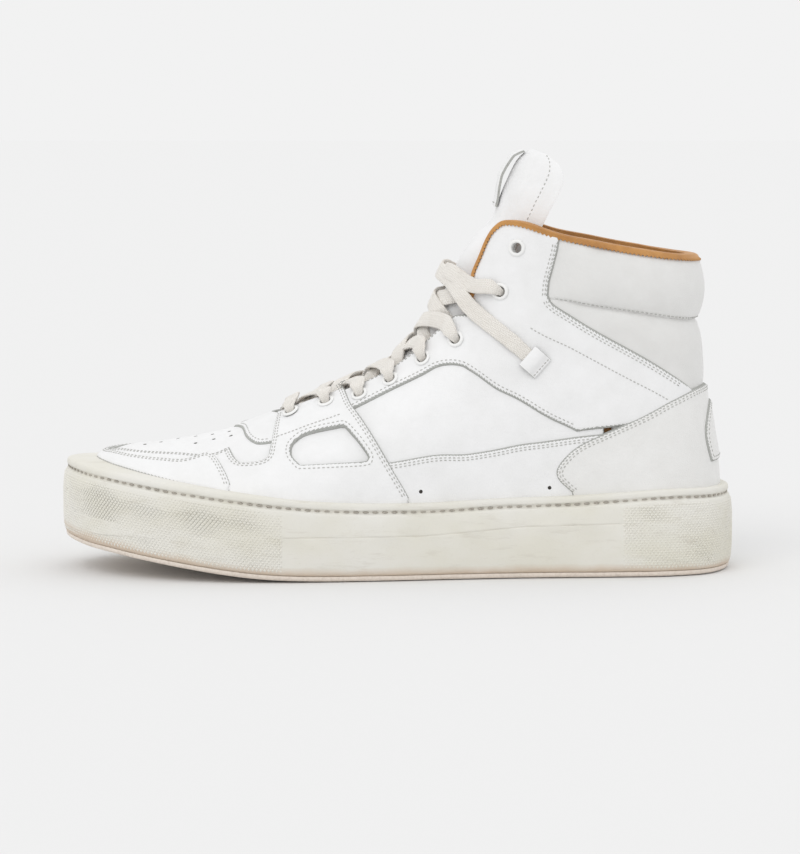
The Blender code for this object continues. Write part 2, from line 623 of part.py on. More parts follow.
def ring_solid(name, rings, colour, roughness):
    """A closed solid lofted through rings, with a cap on the first and the last."""
    count = len(rings[0])
    points = np.concatenate(rings)
    faces = ladder(count, 0, False) + ladder(count, count * (len(rings) - 1), True)
    for level in range(len(rings) - 1):
        for k in range(count):
            a, b = level * count + k, level * count + (k + 1) % count
            faces.append([a, b, b + count, a + count])
    return make_object(name, points, faces, colour, roughness)


def toe_spring(x):
    """Height of the underside: flat under heel and arch, lifting towards the toe."""
    u = -35.0 - x - 25.0
    return np.maximum(0.0, 0.18 * (u + np.sqrt(u * u + 400.0)) / 2 - 0.46)


def build_sole():
    def under(extra):
        return lambda g, value: toe_spring(value[:, 0]) + extra

    def ledge(extra):
        return lambda g, value: value[:, 12] + extra

    def cup(extra):
        return lambda g, value: value[:, 13] + extra

    def lasting(extra):
        return lambda g, value: value[:, 1] + extra

    def part_up(share, extra=0.0):
        return lambda g, value: (1 - share) * (toe_spring(value[:, 0]) + 2.5) + share * value[:, 13] + extra

    ring_solid("outsole", [
        ring_points(ledge(-4.0), under(0.0)),
        ring_points(ledge(-2.6), under(0.5)),
        ring_points(ledge(-1.8), under(OUTSOLE_THICKNESS)),
    ], (0.66, 0.57, 0.47), 0.8)
    base = OUTSOLE_THICKNESS + GAP
    ring_solid("cupsole", [
        ring_points(ledge(-1.7), under(base)),
        ring_points(ledge(-0.4), under(base + 2.5)),
        ring_points(ledge(0.0), part_up(0.32)),
        ring_points(ledge(-0.4), part_up(0.62)),
        ring_points(ledge(-1.5), cup(-2.4)),
        ring_points(ledge(-2.1), cup(-0.9)),
        ring_points(ledge(-3.2), cup(0.0)),
        ring_points(lambda g, value: 2.1 + 0.36 * value[:, 7], cup(0.0)),
        ring_points(2.1, lasting(0.0)),
        ring_points(1.9, under(base + CUP_FLOOR)),
    ], RUBBER, 0.7)
    floor = base + CUP_FLOOR
    ring_solid("midsole_filler", [
        ring_points(0.9, under(floor + GAP)),
        ring_points(0.9, lasting(-GAP)),
    ], (0.55, 0.53, 0.50), 0.9)
    ring_solid("insole_board", [
        ring_points(-4.6, lasting(0.1)),
        ring_points(lambda g, value: -4.8 - 0.4 * (value[:, 12] - 7.8), lasting(1.9)),
    ], (0.50, 0.38, 0.24), 0.9)
    ring_solid("footbed", [
        ring_points(lambda g, value: -5.2 - 1.2 * (value[:, 12] - 7.8), lasting(2.3)),
        ring_points(lambda g, value: -4.9 - 1.6 * (value[:, 12] - 7.8), lasting(4.5)),
        ring_points(lambda g, value: -5.8 - 1.9 * (value[:, 12] - 7.8), lasting(6.3)),
    ], (0.70, 0.48, 0.26), 0.7)


# ---------------------------------------------------------------- tongue
TONGUE_LINE = np.array([
    (-65.0, 57.0), (-54.0, 61.0), (-40.0, 67.2), (-21.0, 75.0), (-3.0, 84.2), (11.4, 96.8),
    (21.2, 112.0), (27.6, 128.4), (33.8, 142.4), (40.9, 155.0), (44.5, 163.0), (47.0, 170.0),
    (50.0, 177.5), (53.8, 184.0), (56.5, 187.6)])
TONGUE_WIDTH = np.array([15, 17, 20, 22, 23, 23.5, 24, 24, 24, 24.5, 25, 25, 23.5, 19, 12.0])
TONGUE_BOW = np.array([.004, .006, .010, .013, .019, .026, .031, .033, .033, .031, .030, .030,
                       .030, .030, .030])


def blend(table, where):
    """A smooth value of a table at a fractional row."""
    index = np.clip(np.floor(where).astype(int), 0, len(table) - 2)
    f = (where - index)[..., None] if table.ndim > 1 else where - index
    pick = [table[np.clip(index + k, 0, len(table) - 1)] for k in (-1, 0, 1, 2)]
    return 0.5 * (2 * pick[1] + (pick[2] - pick[0]) * f
                  + (2 * pick[0] - 5 * pick[1] + 4 * pick[2] - pick[3]) * f ** 2
                  + (3 * pick[1] - pick[0] - 3 * pick[2] + pick[3]) * f ** 3)


def tongue_frame(where):
    """Centre point and forward-facing normal of the tongue at a row."""
    centre = blend(TONGUE_LINE, where)
    ahead = blend(TONGUE_LINE, np.minimum(where + 0.05, len(TONGUE_LINE) - 1.0))
    behind = blend(TONGUE_LINE, np.maximum(where - 0.05, 0.0))
    run = (ahead - behind) / np.linalg.norm(ahead - behind, axis=-1, keepdims=True)
    return centre, np.stack([-run[..., 1], run[..., 0]], -1)


def shell_samples():
    """Points and normals of the outer side and the inner side that the tongue lies under."""
    sides = []
    for start, end in ((0.2, 0.8), (1.8, 1.2)):
        g, t = np.meshgrid(np.linspace(start, end, 121), np.linspace(0.3, 1, 71), indexing="ij")
        reach = np.where(np.minimum(g, 2 - g) < 0.42, 0.99, 0.93)
        keep = (t < reach).reshape(-1)
        sides.append((shell(g, t).reshape(-1, 3)[keep], shell_normal(g, t).reshape(-1, 3)[keep],
                      (t > reach - 0.012).reshape(-1)[keep]))
    return sides


SAMPLES = shell_samples()


def tongue_point(where, y, depth=0.0):
    """A point of the tongue's face, kept under the facings, at a depth behind the face."""
    where, y = np.broadcast_arrays(np.asarray(where, float), np.asarray(y, float))
    centre, normal = tongue_frame(where)
    bow = blend(TONGUE_BOW, where) * y * y
    points = []
    for c, n, drop, across in zip(centre.reshape(-1, 2), normal.reshape(-1, 2),
                                  bow.reshape(-1), y.reshape(-1)):
        spot = np.array([c[0] - n[0] * drop, across, c[1] - n[1] * drop])
        inwards = np.array([n[0], 0, n[1]])
        surface, outward, border = SAMPLES[0 if across < 0 else 1]
        for _ in range(4):
            near = int(np.argmin(((surface - spot) ** 2).sum(1)))
            over = float((spot - surface[near]) @ outward[near]) + TONGUE_CLEARANCE
            if over > 0 and not border[near]:
                spot = spot - inwards * over * 1.05
        points.append(spot - inwards * depth)
    return np.array(points).reshape(where.shape + (3,))


def tongue_slab(name, first, last, rows, across, front, thickness, colour, roughness, origin, edge=0.35):
    """A stretch of the tongue as one closed slab, between two rows."""
    wide = len(across)
    loops = []
    for row in np.linspace(first, last, rows):
        half = float(blend(TONGUE_WIDTH, np.array(row)))
        y = across * half
        face = tongue_point(np.full(wide, row), y, front)
        thin = 1 - (1 - edge) * np.abs(across) ** 4
        _, normal = tongue_frame(np.full(wide, row))
        back = face - np.stack([normal[:, 0], 0 * y, normal[:, 1]], -1) * (thickness * thin)[:, None]
        loops.append(np.concatenate([face, back[::-1]]))
    count = len(loops[0])
    points = np.concatenate(loops)
    faces = []
    for level in range(rows - 1):
        for k in range(count):
            a, b = level * count + k, level * count + (k + 1) % count
            faces.append([a, b, b + count, a + count])
    for start, flip in ((0, False), (count * (rows - 1), True)):
        for k in range(wide - 1):
            quad = [start + k, start + k + 1, start + count - k - 2, start + count - k - 1]
            faces.append(quad[::-1] if flip else quad)
    return make_object(name, points, faces, colour, roughness, origin)


TONGUE_HINGE = (-63.0, 0.0, 57.0)
TAB_HINGE = (42.5, 0.0, 160.5)
LOOP_HINGE = (41.0, 0.0, 158.0)


def build_tongue():
    across = np.linspace(-1, 1, 11)
    tongue_slab("tongue", 0.0, 9.45, 17, across, 0.0, 4.2, WHITE, 0.5, TONGUE_HINGE)
    tongue_slab("tongue_lining", 0.0, 9.45, 17, across[1:-1], 4.8, 1.0, TAN, 0.6, TONGUE_HINGE, edge=1.0)
    tongue_slab("tongue_top_tab", 9.6, 13.9, 11, across, 0.0, 2.6, WHITE, 0.5, TAB_HINGE, edge=0.6)
    tongue_slab("pull_loop", 9.65, 13.7, 10, np.linspace(-0.45, 0.45, 7), -2.2, 1.2, WHITE, 0.5, LOOP_HINGE, edge=1.0)


# ---------------------------------------------------------------- eyelets, keepers, lace
def place(g, t):
    """Middle, outward normal and two level directions at a point of the shell."""
    at = shell(g, t)
    normal = shell_normal(np.array(g), np.array(t))
    along = shell(g + 1e-3, t) - shell(g - 1e-3, t)
    along = along / np.linalg.norm(along)
    across = np.cross(normal, along)
    return at, normal, along, across / np.linalg.norm(across)


def eyelet_height(index):
    return SECOND_OVERLAY[1] if index < 2 else OVERLAY[1]


def build_eyelets():
    segments = 10
    for index, (g, t) in enumerate(EYELETS):
        top = eyelet_height(index)
        profile = [
            (EYELET_HOLE, LINING[0] - 0.5), (EYELET_BARREL, LINING[0] - 0.5),
            (EYELET_BARREL, top + 0.3), (EYELET_FLANGE, top + 0.3),
            (EYELET_FLANGE - 0.3, top + 0.9), (EYELET_HOLE + 0.4, top + 1.1), (EYELET_HOLE, top + 0.7)]
        for label, where in (("lateral", g), ("medial", 2 - g)):
            at, normal, along, across = place(where, t)
            points = []
            for k in range(segments):
                turn = 2 * math.pi * k / segments
                spoke = along * math.cos(turn) + across * math.sin(turn)
                points += [at + spoke * r + normal * h for r, h in profile]
            size = len(profile)
            faces = []
            for k in range(segments):
                here, after = k * size, ((k + 1) % segments) * size
                for j in range(size):
                    n = (j + 1) % size
                    faces.append([here + j, after + j, after + n, here + n])
            make_object(f"eyelet_{label}_{index + 1}", points, faces, (0.9, 0.9, 0.89), 0.35, at)


KEEPER = side(59.6, 95.2)
KEEPER_LENGTH = 11.0
KEEPER_DEPTH = 6.6


def keeper_axes(where):
    """Frame of a lace keeper: middle of its slot edge, normal, slot direction, depth direction."""
    at, normal, _, _ = place(where, KEEPER[1])
    slot = np.array([0.66, 0.0, 0.75])
    slot = slot - normal * (slot @ normal)
    slot = slot / np.linalg.norm(slot)
    depth = np.cross(slot, normal)
    if depth[0] < 0:
        depth = -depth
    return at, normal, slot, depth


def build_keepers():
    """A leather tab sewn down along one edge, open along the other for the lace end."""
    base = OVERLAY[1]
    tall = base + 0.6 + 2 * LACE_RADIUS + 0.5
    for label, where in (("lateral", KEEPER[0]), ("medial", 2 - KEEPER[0])):
        at, normal, slot, depth = keeper_axes(where)
        half, far = KEEPER_LENGTH / 2, KEEPER_DEPTH / 2
        profile = [
            (-far, tall), (far - 0.6, tall), (far + 0.2, tall - 0.8), (far + 0.2, base + 0.5),
            (far + 1.8, base + 0.5), (far + 1.8, base + 1.5), (far + 1.2, tall + 0.4),
            (far - 0.4, tall + 1.1), (-far, tall + 1.1)]
        points = []
        for end in (-half, half):
            points += [at + slot * end + depth * d + normal * h for d, h in profile]
        size = len(profile)
        faces = [[k, (k + 1) % size, (k + 1) % size + size, k + size] for k in range(size)]
        faces += [list(range(size))[::-1], list(range(size, 2 * size))]
        hinge = at + depth * (far + 1.8) + normal * (base + 0.5)
        make_object("lace_keeper_" + label, points, faces, WHITE, 0.5, hinge)


# Where the facing's edge lies beside each laced eyelet
FACING_EDGE = [(0.675, 0.874), (0.626, 0.868), (0.579, 0.861), (0.535, 0.865), (0.489, 0.865),
               (0.450, 0.838), (0.399, 0.862)]
CROSSING_ROWS = (2.07, 2.9, 3.67, 4.6, 5.5, 6.3)


def at_offset(where, outer, offset):
    """A point off the outer side of the shoe, or the same point of the inner side."""
    g, t = where
    return on_shell(np.array(g if outer else 2 - g), np.array(t), np.array(float(offset)))


def tongue_middle(row, lift):
    """A point in front of the middle of the tongue."""
    spot, normal = tongue_frame(np.array(row))
    return np.array([spot[0] + normal[0] * lift, 0.0, spot[1] + normal[1] * lift])


def tongue_flank(row, y, lift):
    """A point in front of the tongue, away from its middle."""
    _, normal = tongue_frame(np.array(row))
    return tongue_point(np.array(row), np.array(y)) + np.array([normal[0], 0.0, normal[1]]) * lift


def over_tongue(point, lift):
    """The point, moved off the tongue's face where it lies closer than the lift."""
    rows = np.linspace(0.5, 9.0, 86)
    faces = tongue_point(rows, np.full(86, point[1]))
    nearest = int(np.argmin(((faces - point) ** 2).sum(1)))
    _, normal = tongue_frame(rows[nearest])
    outward = np.array([normal[0], 0.0, normal[1]])
    short = lift - float((point - faces[nearest]) @ outward)
    return point + outward * max(short, 0.0)


def beside(index, distance):
    """A point of the pattern some way from an eyelet's middle towards the facing's edge."""
    g, t = EYELETS[index]
    edge_g, edge_t = FACING_EDGE[index]
    span = float(np.linalg.norm(shell(edge_g, edge_t) - shell(g, t)))
    share = distance / span
    return g + (edge_g - g) * share, t + (edge_t - t) * share


def lace_half(starts_outer, extra):
    """One half of the lace, from the lowest eyelet to the keeper where its end is tucked."""
    radius = LACE_RADIUS
    inside_lining = LINING[0] - radius - 0.3
    outer = starts_outer
    run = []
    for index in range(6):
        top = eyelet_height(index)
        if index:
            clear = 3.0 if index == 5 else 1.7
            run.append(at_offset(FACING_EDGE[index], outer, top + radius + clear))
        run.append(at_offset(beside(index, 0.8), outer, top + radius + 1.6))
        run.append(at_offset(beside(index, -0.3), outer, inside_lining))
        run.append(over_tongue(at_offset(beside(index, 8.0), outer, inside_lining), radius + 1.2))
        if index == 5:
            run.append(tongue_flank(6.05, -9.0 if outer else 9.0, radius + 1.6 + extra / 2))
        run.append(tongue_middle(CROSSING_ROWS[index], radius + 2.3 + extra))
        outer = not outer
    top = OVERLAY[1]
    run.append(tongue_flank(6.55, -11.0 if outer else 11.0, radius + 1.8 + extra / 2))
    run.append(over_tongue(at_offset(beside(6, 14.5), outer, inside_lining), radius + 1.2))
    run.append(at_offset(beside(6, -0.3), outer, inside_lining))
    run.append(at_offset(beside(6, 0.8), outer, top + radius + 1.6))
    run.append(at_offset(FACING_EDGE[6], outer, top + radius + 1.9))
    front = tongue_middle(7.05, radius + 3.0 + extra)
    run.append(front + (2.0, -10.0 if outer else 10.0, 0.5))
    run.append(front)
    outer = not outer
    run.append(front + (5.0, -14.0 if outer else 14.0, -4.5))
    at, normal, _, depth = keeper_axes(KEEPER[0] if outer else 2 - KEEPER[0])
    resting = OVERLAY[1] + 0.45 + radius
    run.append(at_offset((0.408, 0.80), outer, OVERLAY[1] + radius + 1.9))
    run.append(at - depth * 12 + normal * (resting + 0.9))
    run.append(at - depth * 5 + normal * resting)
    run.append(at + depth * 2.2 + normal * resting)
    return run


def lace_path():
    """The lace from the outer keeper, down through the eyelets and up to the inner keeper."""
    radius = LACE_RADIUS
    bar = [at_offset(FACING_EDGE[0], True, eyelet_height(0) + radius + 1.1),
           tongue_middle(1.5, radius + 5.5),
           at_offset(FACING_EDGE[0], False, eyelet_height(0) + radius + 1.1)]
    return lace_half(True, 0.0)[::-1] + bar + lace_half(False, 2 * radius + 1.2)


def build_lace():
    path = lace_path()
    curve = bpy.data.curves.new("lace", "CURVE")
    curve.dimensions = "3D"
    curve.bevel_depth = LACE_RADIUS * MM
    curve.bevel_resolution = 2
    curve.use_fill_caps = True
    spline = curve.splines.new("POLY")
    spline.points.add(len(path) - 1)
    for point, spot in zip(spline.points, path):
        point.co = (*(np.asarray(spot) * MM), 1.0)
    obj = bpy.data.objects.new("lace", curve)
    curve.materials.append(material("lace", COTTON, 0.9))
    bpy.context.scene.collection.objects.link(obj)


clear_scene()
build_sole()
build_lining()
build_upper()
build_collar()
build_tongue()
build_eyelets()
build_keepers()
build_lace()
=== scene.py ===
"""The looks of a high-top basketball shoe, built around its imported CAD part.

The shoe's own surface, shell(g, t), is the one the CAD part is made on: g runs from the heel (0)
along the outer side to the toe (1) and back along the inner side to the heel (2), and t from
the lasting line in the cup (0) to the top line or the vamp ridge (1). Shapes are worked out in
millimetres and written to the meshes in metres.
"""

import math

import bmesh
import bpy
import numpy as np
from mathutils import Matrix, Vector
from mathutils.geometry import delaunay_2d_cdt


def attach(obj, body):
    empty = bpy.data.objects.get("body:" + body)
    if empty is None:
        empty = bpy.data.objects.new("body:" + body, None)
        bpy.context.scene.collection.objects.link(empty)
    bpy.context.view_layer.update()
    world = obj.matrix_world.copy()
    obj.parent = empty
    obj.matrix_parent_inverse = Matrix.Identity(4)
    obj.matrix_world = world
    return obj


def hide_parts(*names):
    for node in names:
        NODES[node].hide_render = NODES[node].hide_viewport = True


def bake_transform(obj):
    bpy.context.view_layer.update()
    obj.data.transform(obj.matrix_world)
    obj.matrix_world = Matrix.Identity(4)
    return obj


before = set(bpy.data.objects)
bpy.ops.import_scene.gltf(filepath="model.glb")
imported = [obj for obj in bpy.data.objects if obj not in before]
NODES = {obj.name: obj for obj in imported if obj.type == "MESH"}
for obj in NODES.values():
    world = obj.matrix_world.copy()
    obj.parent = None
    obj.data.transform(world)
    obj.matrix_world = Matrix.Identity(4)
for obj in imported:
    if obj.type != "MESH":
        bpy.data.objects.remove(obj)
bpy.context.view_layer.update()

MM = 0.001
LATTICE = 3.2          # spacing of the mesh points inside a leather piece
EDGE_STEP = 1.6        # spacing of the points along its edge
RIDGE_STEP = 0.005     # spacing in g of its points along the vamp ridge
LEATHER_HOLE = 3.2     # radius of the hole under an eyelet

# Stations from the heel to the toe. Each holds: lasting line x, its height, its outer and
# inner half width, top line x, its half width and height, how far the wall leans out and
# rises above the lasting line, how far it leans out and drops below the top line, the
# slope of the ridge, the width of sole outside the lasting line, the height of the cup.
STATIONS = np.array([
    [142.5, 28.0, 0.0, 0.0, 132.5, 0.0, 141.0, 0.5, 28, -3.5, 50, 0.00, 7.8, 37.9],
    [135.0, 28.0, 21.0, 20.5, 126.5, 18.0, 141.5, 1.0, 28, -3.5, 50, 0.00, 7.8, 38.3],
    [118.0, 28.0, 29.5, 28.5, 113.0, 27.5, 143.0, 2.0, 28, -4.0, 48, 0.00, 8.0, 38.6],
    [98.0, 27.0, 31.5, 30.5, 95.0, 30.5, 146.0, 3.0, 28, -4.0, 46, 0.00, 8.5, 37.4],
    [78.0, 26.0, 32.5, 30.5, 77.0, 31.5, 149.5, 4.0, 30, -3.5, 48, 0.00, 9.0, 36.2],
    [60.0, 25.0, 33.5, 30.5, 60.0, 30.0, 156.0, 5.0, 32, -1.0, 55, 0.00, 9.0, 35.6],
    [45.0, 24.5, 35.0, 31.0, 45.0, 24.0, 158.0, 5.5, 34, 4.0, 55, 0.00, 9.0, 35.2],
    [31.0, 24.0, 37.0, 32.0, 32.5, 14.5, 139.0, 6.0, 34, 12.0, 36, 0.00, 9.0, 34.6],
    [15.0, 24.0, 39.5, 33.5, 16.0, 9.0, 113.0, 6.0, 34, 19.0, 16, 0.00, 9.0, 33.9],
    [-3.0, 24.0, 42.5, 36.0, -2.0, 7.5, 94.5, 6.0, 30, 21.0, 7, 0.00, 9.0, 33.9],
    [-22.0, 24.5, 45.0, 39.0, -20.0, 6.0, 83.5, 5.5, 27, 22.0, 3, 0.00, 9.0, 34.3],
    [-41.0, 26.0, 47.0, 42.0, -38.0, 4.5, 76.0, 5.0, 23, 23.0, 2, 0.00, 9.2, 35.5],
    [-60.0, 28.5, 47.5, 43.5, -54.0, 0.0, 68.9, 4.0, 18, 23.0, 1, 0.25, 9.6, 37.6],
    [-79.0, 31.5, 46.0, 43.0, -67.0, 0.0, 63.6, 3.5, 13, 22.0, 0, 0.30, 10.0, 40.2],
    [-98.0, 34.5, 41.5, 39.5, -82.0, 0.0, 59.6, 3.0, 10, 20.0, 0, 0.22, 10.5, 43.0],
    [-115.0, 37.0, 33.0, 33.0, -96.0, 0.0, 56.9, 2.5, 9, 17.0, 0, 0.14, 11.2, 45.8],
    [-129.0, 39.0, 20.0, 23.0, -106.0, 0.0, 55.6, 2.0, 8, 15.0, 0, 0.08, 12.2, 48.0],
    [-137.5, 40.0, -3.0, 3.0, -110.0, 0.0, 55.3, 1.5, 8, 14.0, 0, 0.05, 12.9, 49.2],
])
LAST = len(STATIONS) - 1
RIDGE_START = 12 / LAST   # where the two sides of the upper first meet over the foot
LENGTH = 18.0 * LAST      # length of one side of the shell's flat pattern


def station_loop():
    """The stations once round the shoe, with signed half widths."""
    outer = STATIONS.copy()
    outer[:, [2, 5]] *= -1
    outer[:, 3] = outer[:, 2]
    inner = STATIONS[LAST - 1:0:-1].copy()
    return np.concatenate([outer, inner])


LOOP = station_loop()


def station_at(g):
    """The station values at g, and how they change with g."""
    where = np.mod(g, 2.0) * LAST
    index = np.floor(where).astype(int)
    f = (where - index)[..., None]
    before, here, after, beyond = [LOOP[(index + k) % len(LOOP)] for k in (-1, 0, 1, 2)]
    square = 2 * before - 5 * here + 4 * after - beyond
    cube = 3 * here - before - 3 * after + beyond
    value = 0.5 * (2 * here + (after - before) * f + square * f ** 2 + cube * f ** 3)
    slope = 0.5 * ((after - before) + 2 * square * f + 3 * cube * f ** 2)
    return value, slope


def plan_normal(slope):
    """The level direction straight out from the lasting line."""
    size = np.hypot(slope[..., 0], slope[..., 3])
    return -slope[..., 3] / size, slope[..., 0] / size


def shell(g, t):
    """A point of the shell in millimetres."""
    g, t = np.broadcast_arrays(np.asarray(g, float), np.asarray(t, float))
    value, slope = station_at(g)
    nx, ny = plan_normal(slope)
    outer_side = np.mod(g, 2.0) <= 1.0
    top_y = np.where(outer_side, np.minimum(value[..., 5], 0), np.maximum(value[..., 5], 0))
    low = np.stack([value[..., 0], value[..., 3], value[..., 1]], -1)
    top = np.stack([value[..., 4], top_y, value[..., 6]], -1)
    low_lean, low_rise, top_lean, top_drop, tilt = [value[..., k] for k in range(7, 12)]
    low_arm = low + np.stack([nx * low_lean, ny * low_lean, low_rise], -1)
    top_arm = top + np.stack([nx * top_lean, ny * top_lean, tilt * nx * top_lean - top_drop], -1)
    t = t[..., None]
    s = 1 - t
    return s ** 3 * low + 3 * s * s * t * low_arm + 3 * s * t * t * top_arm + t ** 3 * top


def shell_normal(g, t):
    """The outward direction of the shell."""
    g, t = np.broadcast_arrays(np.asarray(g, float), np.asarray(t, float))
    step = 1e-3
    along = shell(g + step, t) - shell(g - step, t)
    up = shell(g, np.minimum(t + step, 1)) - shell(g, np.maximum(t - step, 0))
    normal = np.cross(up, along)
    size = np.linalg.norm(normal, axis=-1, keepdims=True)
    normal = normal / np.maximum(size, 1e-9)
    folded = np.mod(g, 2.0)
    on_ridge = (t > 0.9995) & (folded > RIDGE_START - 1e-6) & (folded < 2 - RIDGE_START + 1e-6)
    tilt = station_at(g)[0][..., 11]
    ridge = np.stack([-tilt, 0 * tilt, 1 + 0 * tilt], -1)
    ridge = ridge / np.linalg.norm(ridge, axis=-1, keepdims=True)
    return np.where(on_ridge[..., None], ridge, normal)


GRID_G, GRID_T = np.meshgrid(np.linspace(0, 1, 341), np.linspace(0, 1, 161), indexing="ij")
GRID = shell(GRID_G, GRID_T)
WALL_HEIGHT = np.linalg.norm(np.diff(shell(GRID_G, GRID_T), axis=1), axis=-1).sum(1)


def side(x, z):
    """(g, t) of the point of the outer side seen at x and z from the side."""
    away = (GRID[..., 0] - x) ** 2 + (GRID[..., 2] - z) ** 2
    best = np.unravel_index(np.argmin(away), away.shape)
    g, t = GRID_G[best], GRID_T[best]
    for _ in range(5):
        here = shell(g, t)
        along = (shell(g + 1e-4, t) - here) / 1e-4
        up = (here - shell(g, t - 1e-4)) / 1e-4
        det = along[0] * up[2] - along[2] * up[0]
        if abs(det) < 1e-6:
            break
        dx, dz = x - here[0], z - here[2]
        g += float(np.clip((dx * up[2] - dz * up[0]) / det, -0.02, 0.02))
        t = float(np.clip(t + np.clip((along[0] * dz - along[2] * dx) / det, -0.05, 0.05), 0, 1))
    return (float(g), float(t))


def flatten(points):
    """(g, t) to the flat pattern, in millimetres."""
    points = np.asarray(points, float)
    folded = 1 - np.abs(1 - np.mod(points[..., 0], 2.0))
    height = np.interp(folded, GRID_G[:, 0], WALL_HEIGHT)
    return np.stack([points[..., 0] * LENGTH, points[..., 1] * height], -1)


def unflatten(points):
    points = np.asarray(points, float)
    g = points[..., 0] / LENGTH
    folded = 1 - np.abs(1 - np.mod(g, 2.0))
    height = np.interp(folded, GRID_G[:, 0], WALL_HEIGHT)
    return np.stack([g, points[..., 1] / height], -1)


def mirrored(points):
    """The same outline on the inner side of the shoe."""
    return [(2 - g, t) for g, t in reversed(points)]


def smooth(points):
    """A smooth run of pattern points through these (g, t) points."""
    flat = flatten(points)
    if len(flat) == 2:
        count = max(1, round(math.dist(flat[0], flat[1]) / EDGE_STEP))
        return [flat[0] + (flat[1] - flat[0]) * k / count for k in range(count + 1)]
    padded = np.concatenate([[2 * flat[0] - flat[1]], flat, [2 * flat[-1] - flat[-2]]])
    run = []
    for i in range(len(flat) - 1):
        a, b, c, d = padded[i:i + 4]
        count = max(1, round(math.dist(b, c) / EDGE_STEP))
        for k in range(count):
            f = k / count
            run.append(0.5 * (2 * b + (c - a) * f + (2 * a - 5 * b + 4 * c - d) * f ** 2
                              + (3 * b - a - 3 * c + d) * f ** 3))
    run.append(flat[-1])
    return run


def outline(*runs):
    """A closed pattern outline from smooth runs that share their corners."""
    ring = []
    for run in runs:
        for point in smooth(run):
            if not ring or math.dist(ring[-1], point) > 0.3:
                ring.append(point)
    if math.dist(ring[0], ring[-1]) < 0.3:
        ring.pop()
    return np.array(ring)


def inside(points, ring):
    """Which points lie inside the ring."""
    x, y = points[:, 0][:, None], points[:, 1][:, None]
    x0, y0 = ring[:, 0], ring[:, 1]
    x1, y1 = np.roll(x0, -1), np.roll(y0, -1)
    crosses = (y0 <= y) != (y1 <= y)
    at = x0 + (y - y0) * (x1 - x0) / np.where(y1 == y0, 1e-12, y1 - y0)
    return (crosses & (x < at)).sum(1) % 2 == 1


def pattern_triangles(ring, holes=(), lattice=LATTICE, extra=(), margin=0.0):
    """Points and triangles of a flat pattern piece, with extra points along its edges."""
    columns = round(2 * LENGTH / lattice / 2) * 2
    pitch = 2 * LENGTH / columns
    low, high = ring.min(0), ring.max(0)
    spots = []
    for i in range(math.floor(low[0] / pitch), math.ceil(high[0] / pitch) + 1):
        for j in range(math.floor(low[1] / lattice) - 1, math.ceil(high[1] / lattice) + 1):
            spots.append((i * pitch, (j + 0.5 * (i % 2) + 0.25) * lattice))
    spots = np.array(spots)
    spots = spots[inside(spots, ring)]
    closed = np.roll(ring, -1, axis=0)
    spots = spots[nearest(spots, ring, closed) > margin + 0.5 * lattice]
    for hole in holes:
        spots = spots[~inside(spots, hole)]
        spots = spots[nearest(spots, hole, np.roll(hole, -1, axis=0)) > 0.35 * lattice]
    points = [tuple(p) for p in ring]
    edges = [(k, (k + 1) % len(ring)) for k in range(len(ring))]
    for hole in holes:
        start = len(points)
        points += [tuple(p) for p in hole]
        edges += [(start + k, start + (k + 1) % len(hole)) for k in range(len(hole))]
    for more in extra:
        more = more[inside(more, ring)]
        more = more[nearest(more, ring, closed) > 0.25]
        for hole in holes:
            more = more[~inside(more, hole)]
            more = more[nearest(more, hole, np.roll(hole, -1, axis=0)) > 0.25]
        points += [tuple(p) for p in more]
    points += [tuple(p) for p in spots]
    result = delaunay_2d_cdt(points, edges, [], 0, 1e-5)
    flat = np.array([tuple(p) for p in result[0]])
    faces = np.array([f for f in result[2] if len(f) == 3])
    middle = flat[faces].mean(1)
    keep = inside(middle, ring)
    for hole in holes:
        keep &= ~inside(middle, hole)
    return flat, faces[keep]


def pattern_place(flat):
    """g and t of pattern points, with those on the fold exactly on the ridge."""
    gt = unflatten(flat)
    g, t = gt[:, 0], np.clip(gt[:, 1], 0, 1)
    folded = 1 - np.abs(1 - np.mod(g, 2.0))
    return g, np.where((t > 0.9985) & (folded > RIDGE_START + 0.001), 1.0, t)


def tangents(g, t):
    """How a point of the shell moves with g and with t."""
    g, t = np.broadcast_arrays(np.asarray(g, float), np.asarray(t, float))
    step = 1e-3
    top, low = np.minimum(t + step, 1.0), np.maximum(t - step, 0.0)
    along = (shell(g + step, t) - shell(g - step, t)) / (2 * step)
    up = (shell(g, top) - shell(g, low)) / (top - low)[..., None]
    return along, up


def nudge(g, t, move):
    """(g, t) after a move along the surface, in millimetres."""
    along, up = tangents(g, t)
    aa, ab, bb = (along * along).sum(-1), (along * up).sum(-1), (up * up).sum(-1)
    p, q = (move * along).sum(-1), (move * up).sum(-1)
    det = np.maximum(aa * bb - ab * ab, 1e-6)
    return g + (bb * p - ab * q) / det, np.clip(t + (aa * q - ab * p) / det, 0.0, 1.0)


def relief(spot):
    """Soft unevenness of the leather over the foot, in millimetres."""
    x, y, z = spot[..., 0], spot[..., 1], spot[..., 2]
    soft = np.sin(0.17 * x + 0.11 * z + 1.4 * np.sin(0.09 * z - 0.05 * y))
    soft = soft + 0.7 * np.sin(0.29 * z - 0.13 * x + 1.1 * np.sin(0.07 * x + 0.12 * y))
    soft = soft + 0.5 * np.sin(0.21 * y + 0.31 * x + 0.9 * np.sin(0.13 * z))
    return 0.13 * soft


def laid(g, t, offset):
    """A point of the shoe's skin at a height over the shell."""
    spot = shell(g, t)
    lift = np.asarray(offset, float) + relief(spot)
    return spot + shell_normal(g, t) * lift[..., None]


def path_of(points, step=1.0):
    """(g, t) every so many millimetres along a smooth line through the points."""
    flat = np.array(smooth(points))
    gt = unflatten(flat)
    return evenly(gt, step)


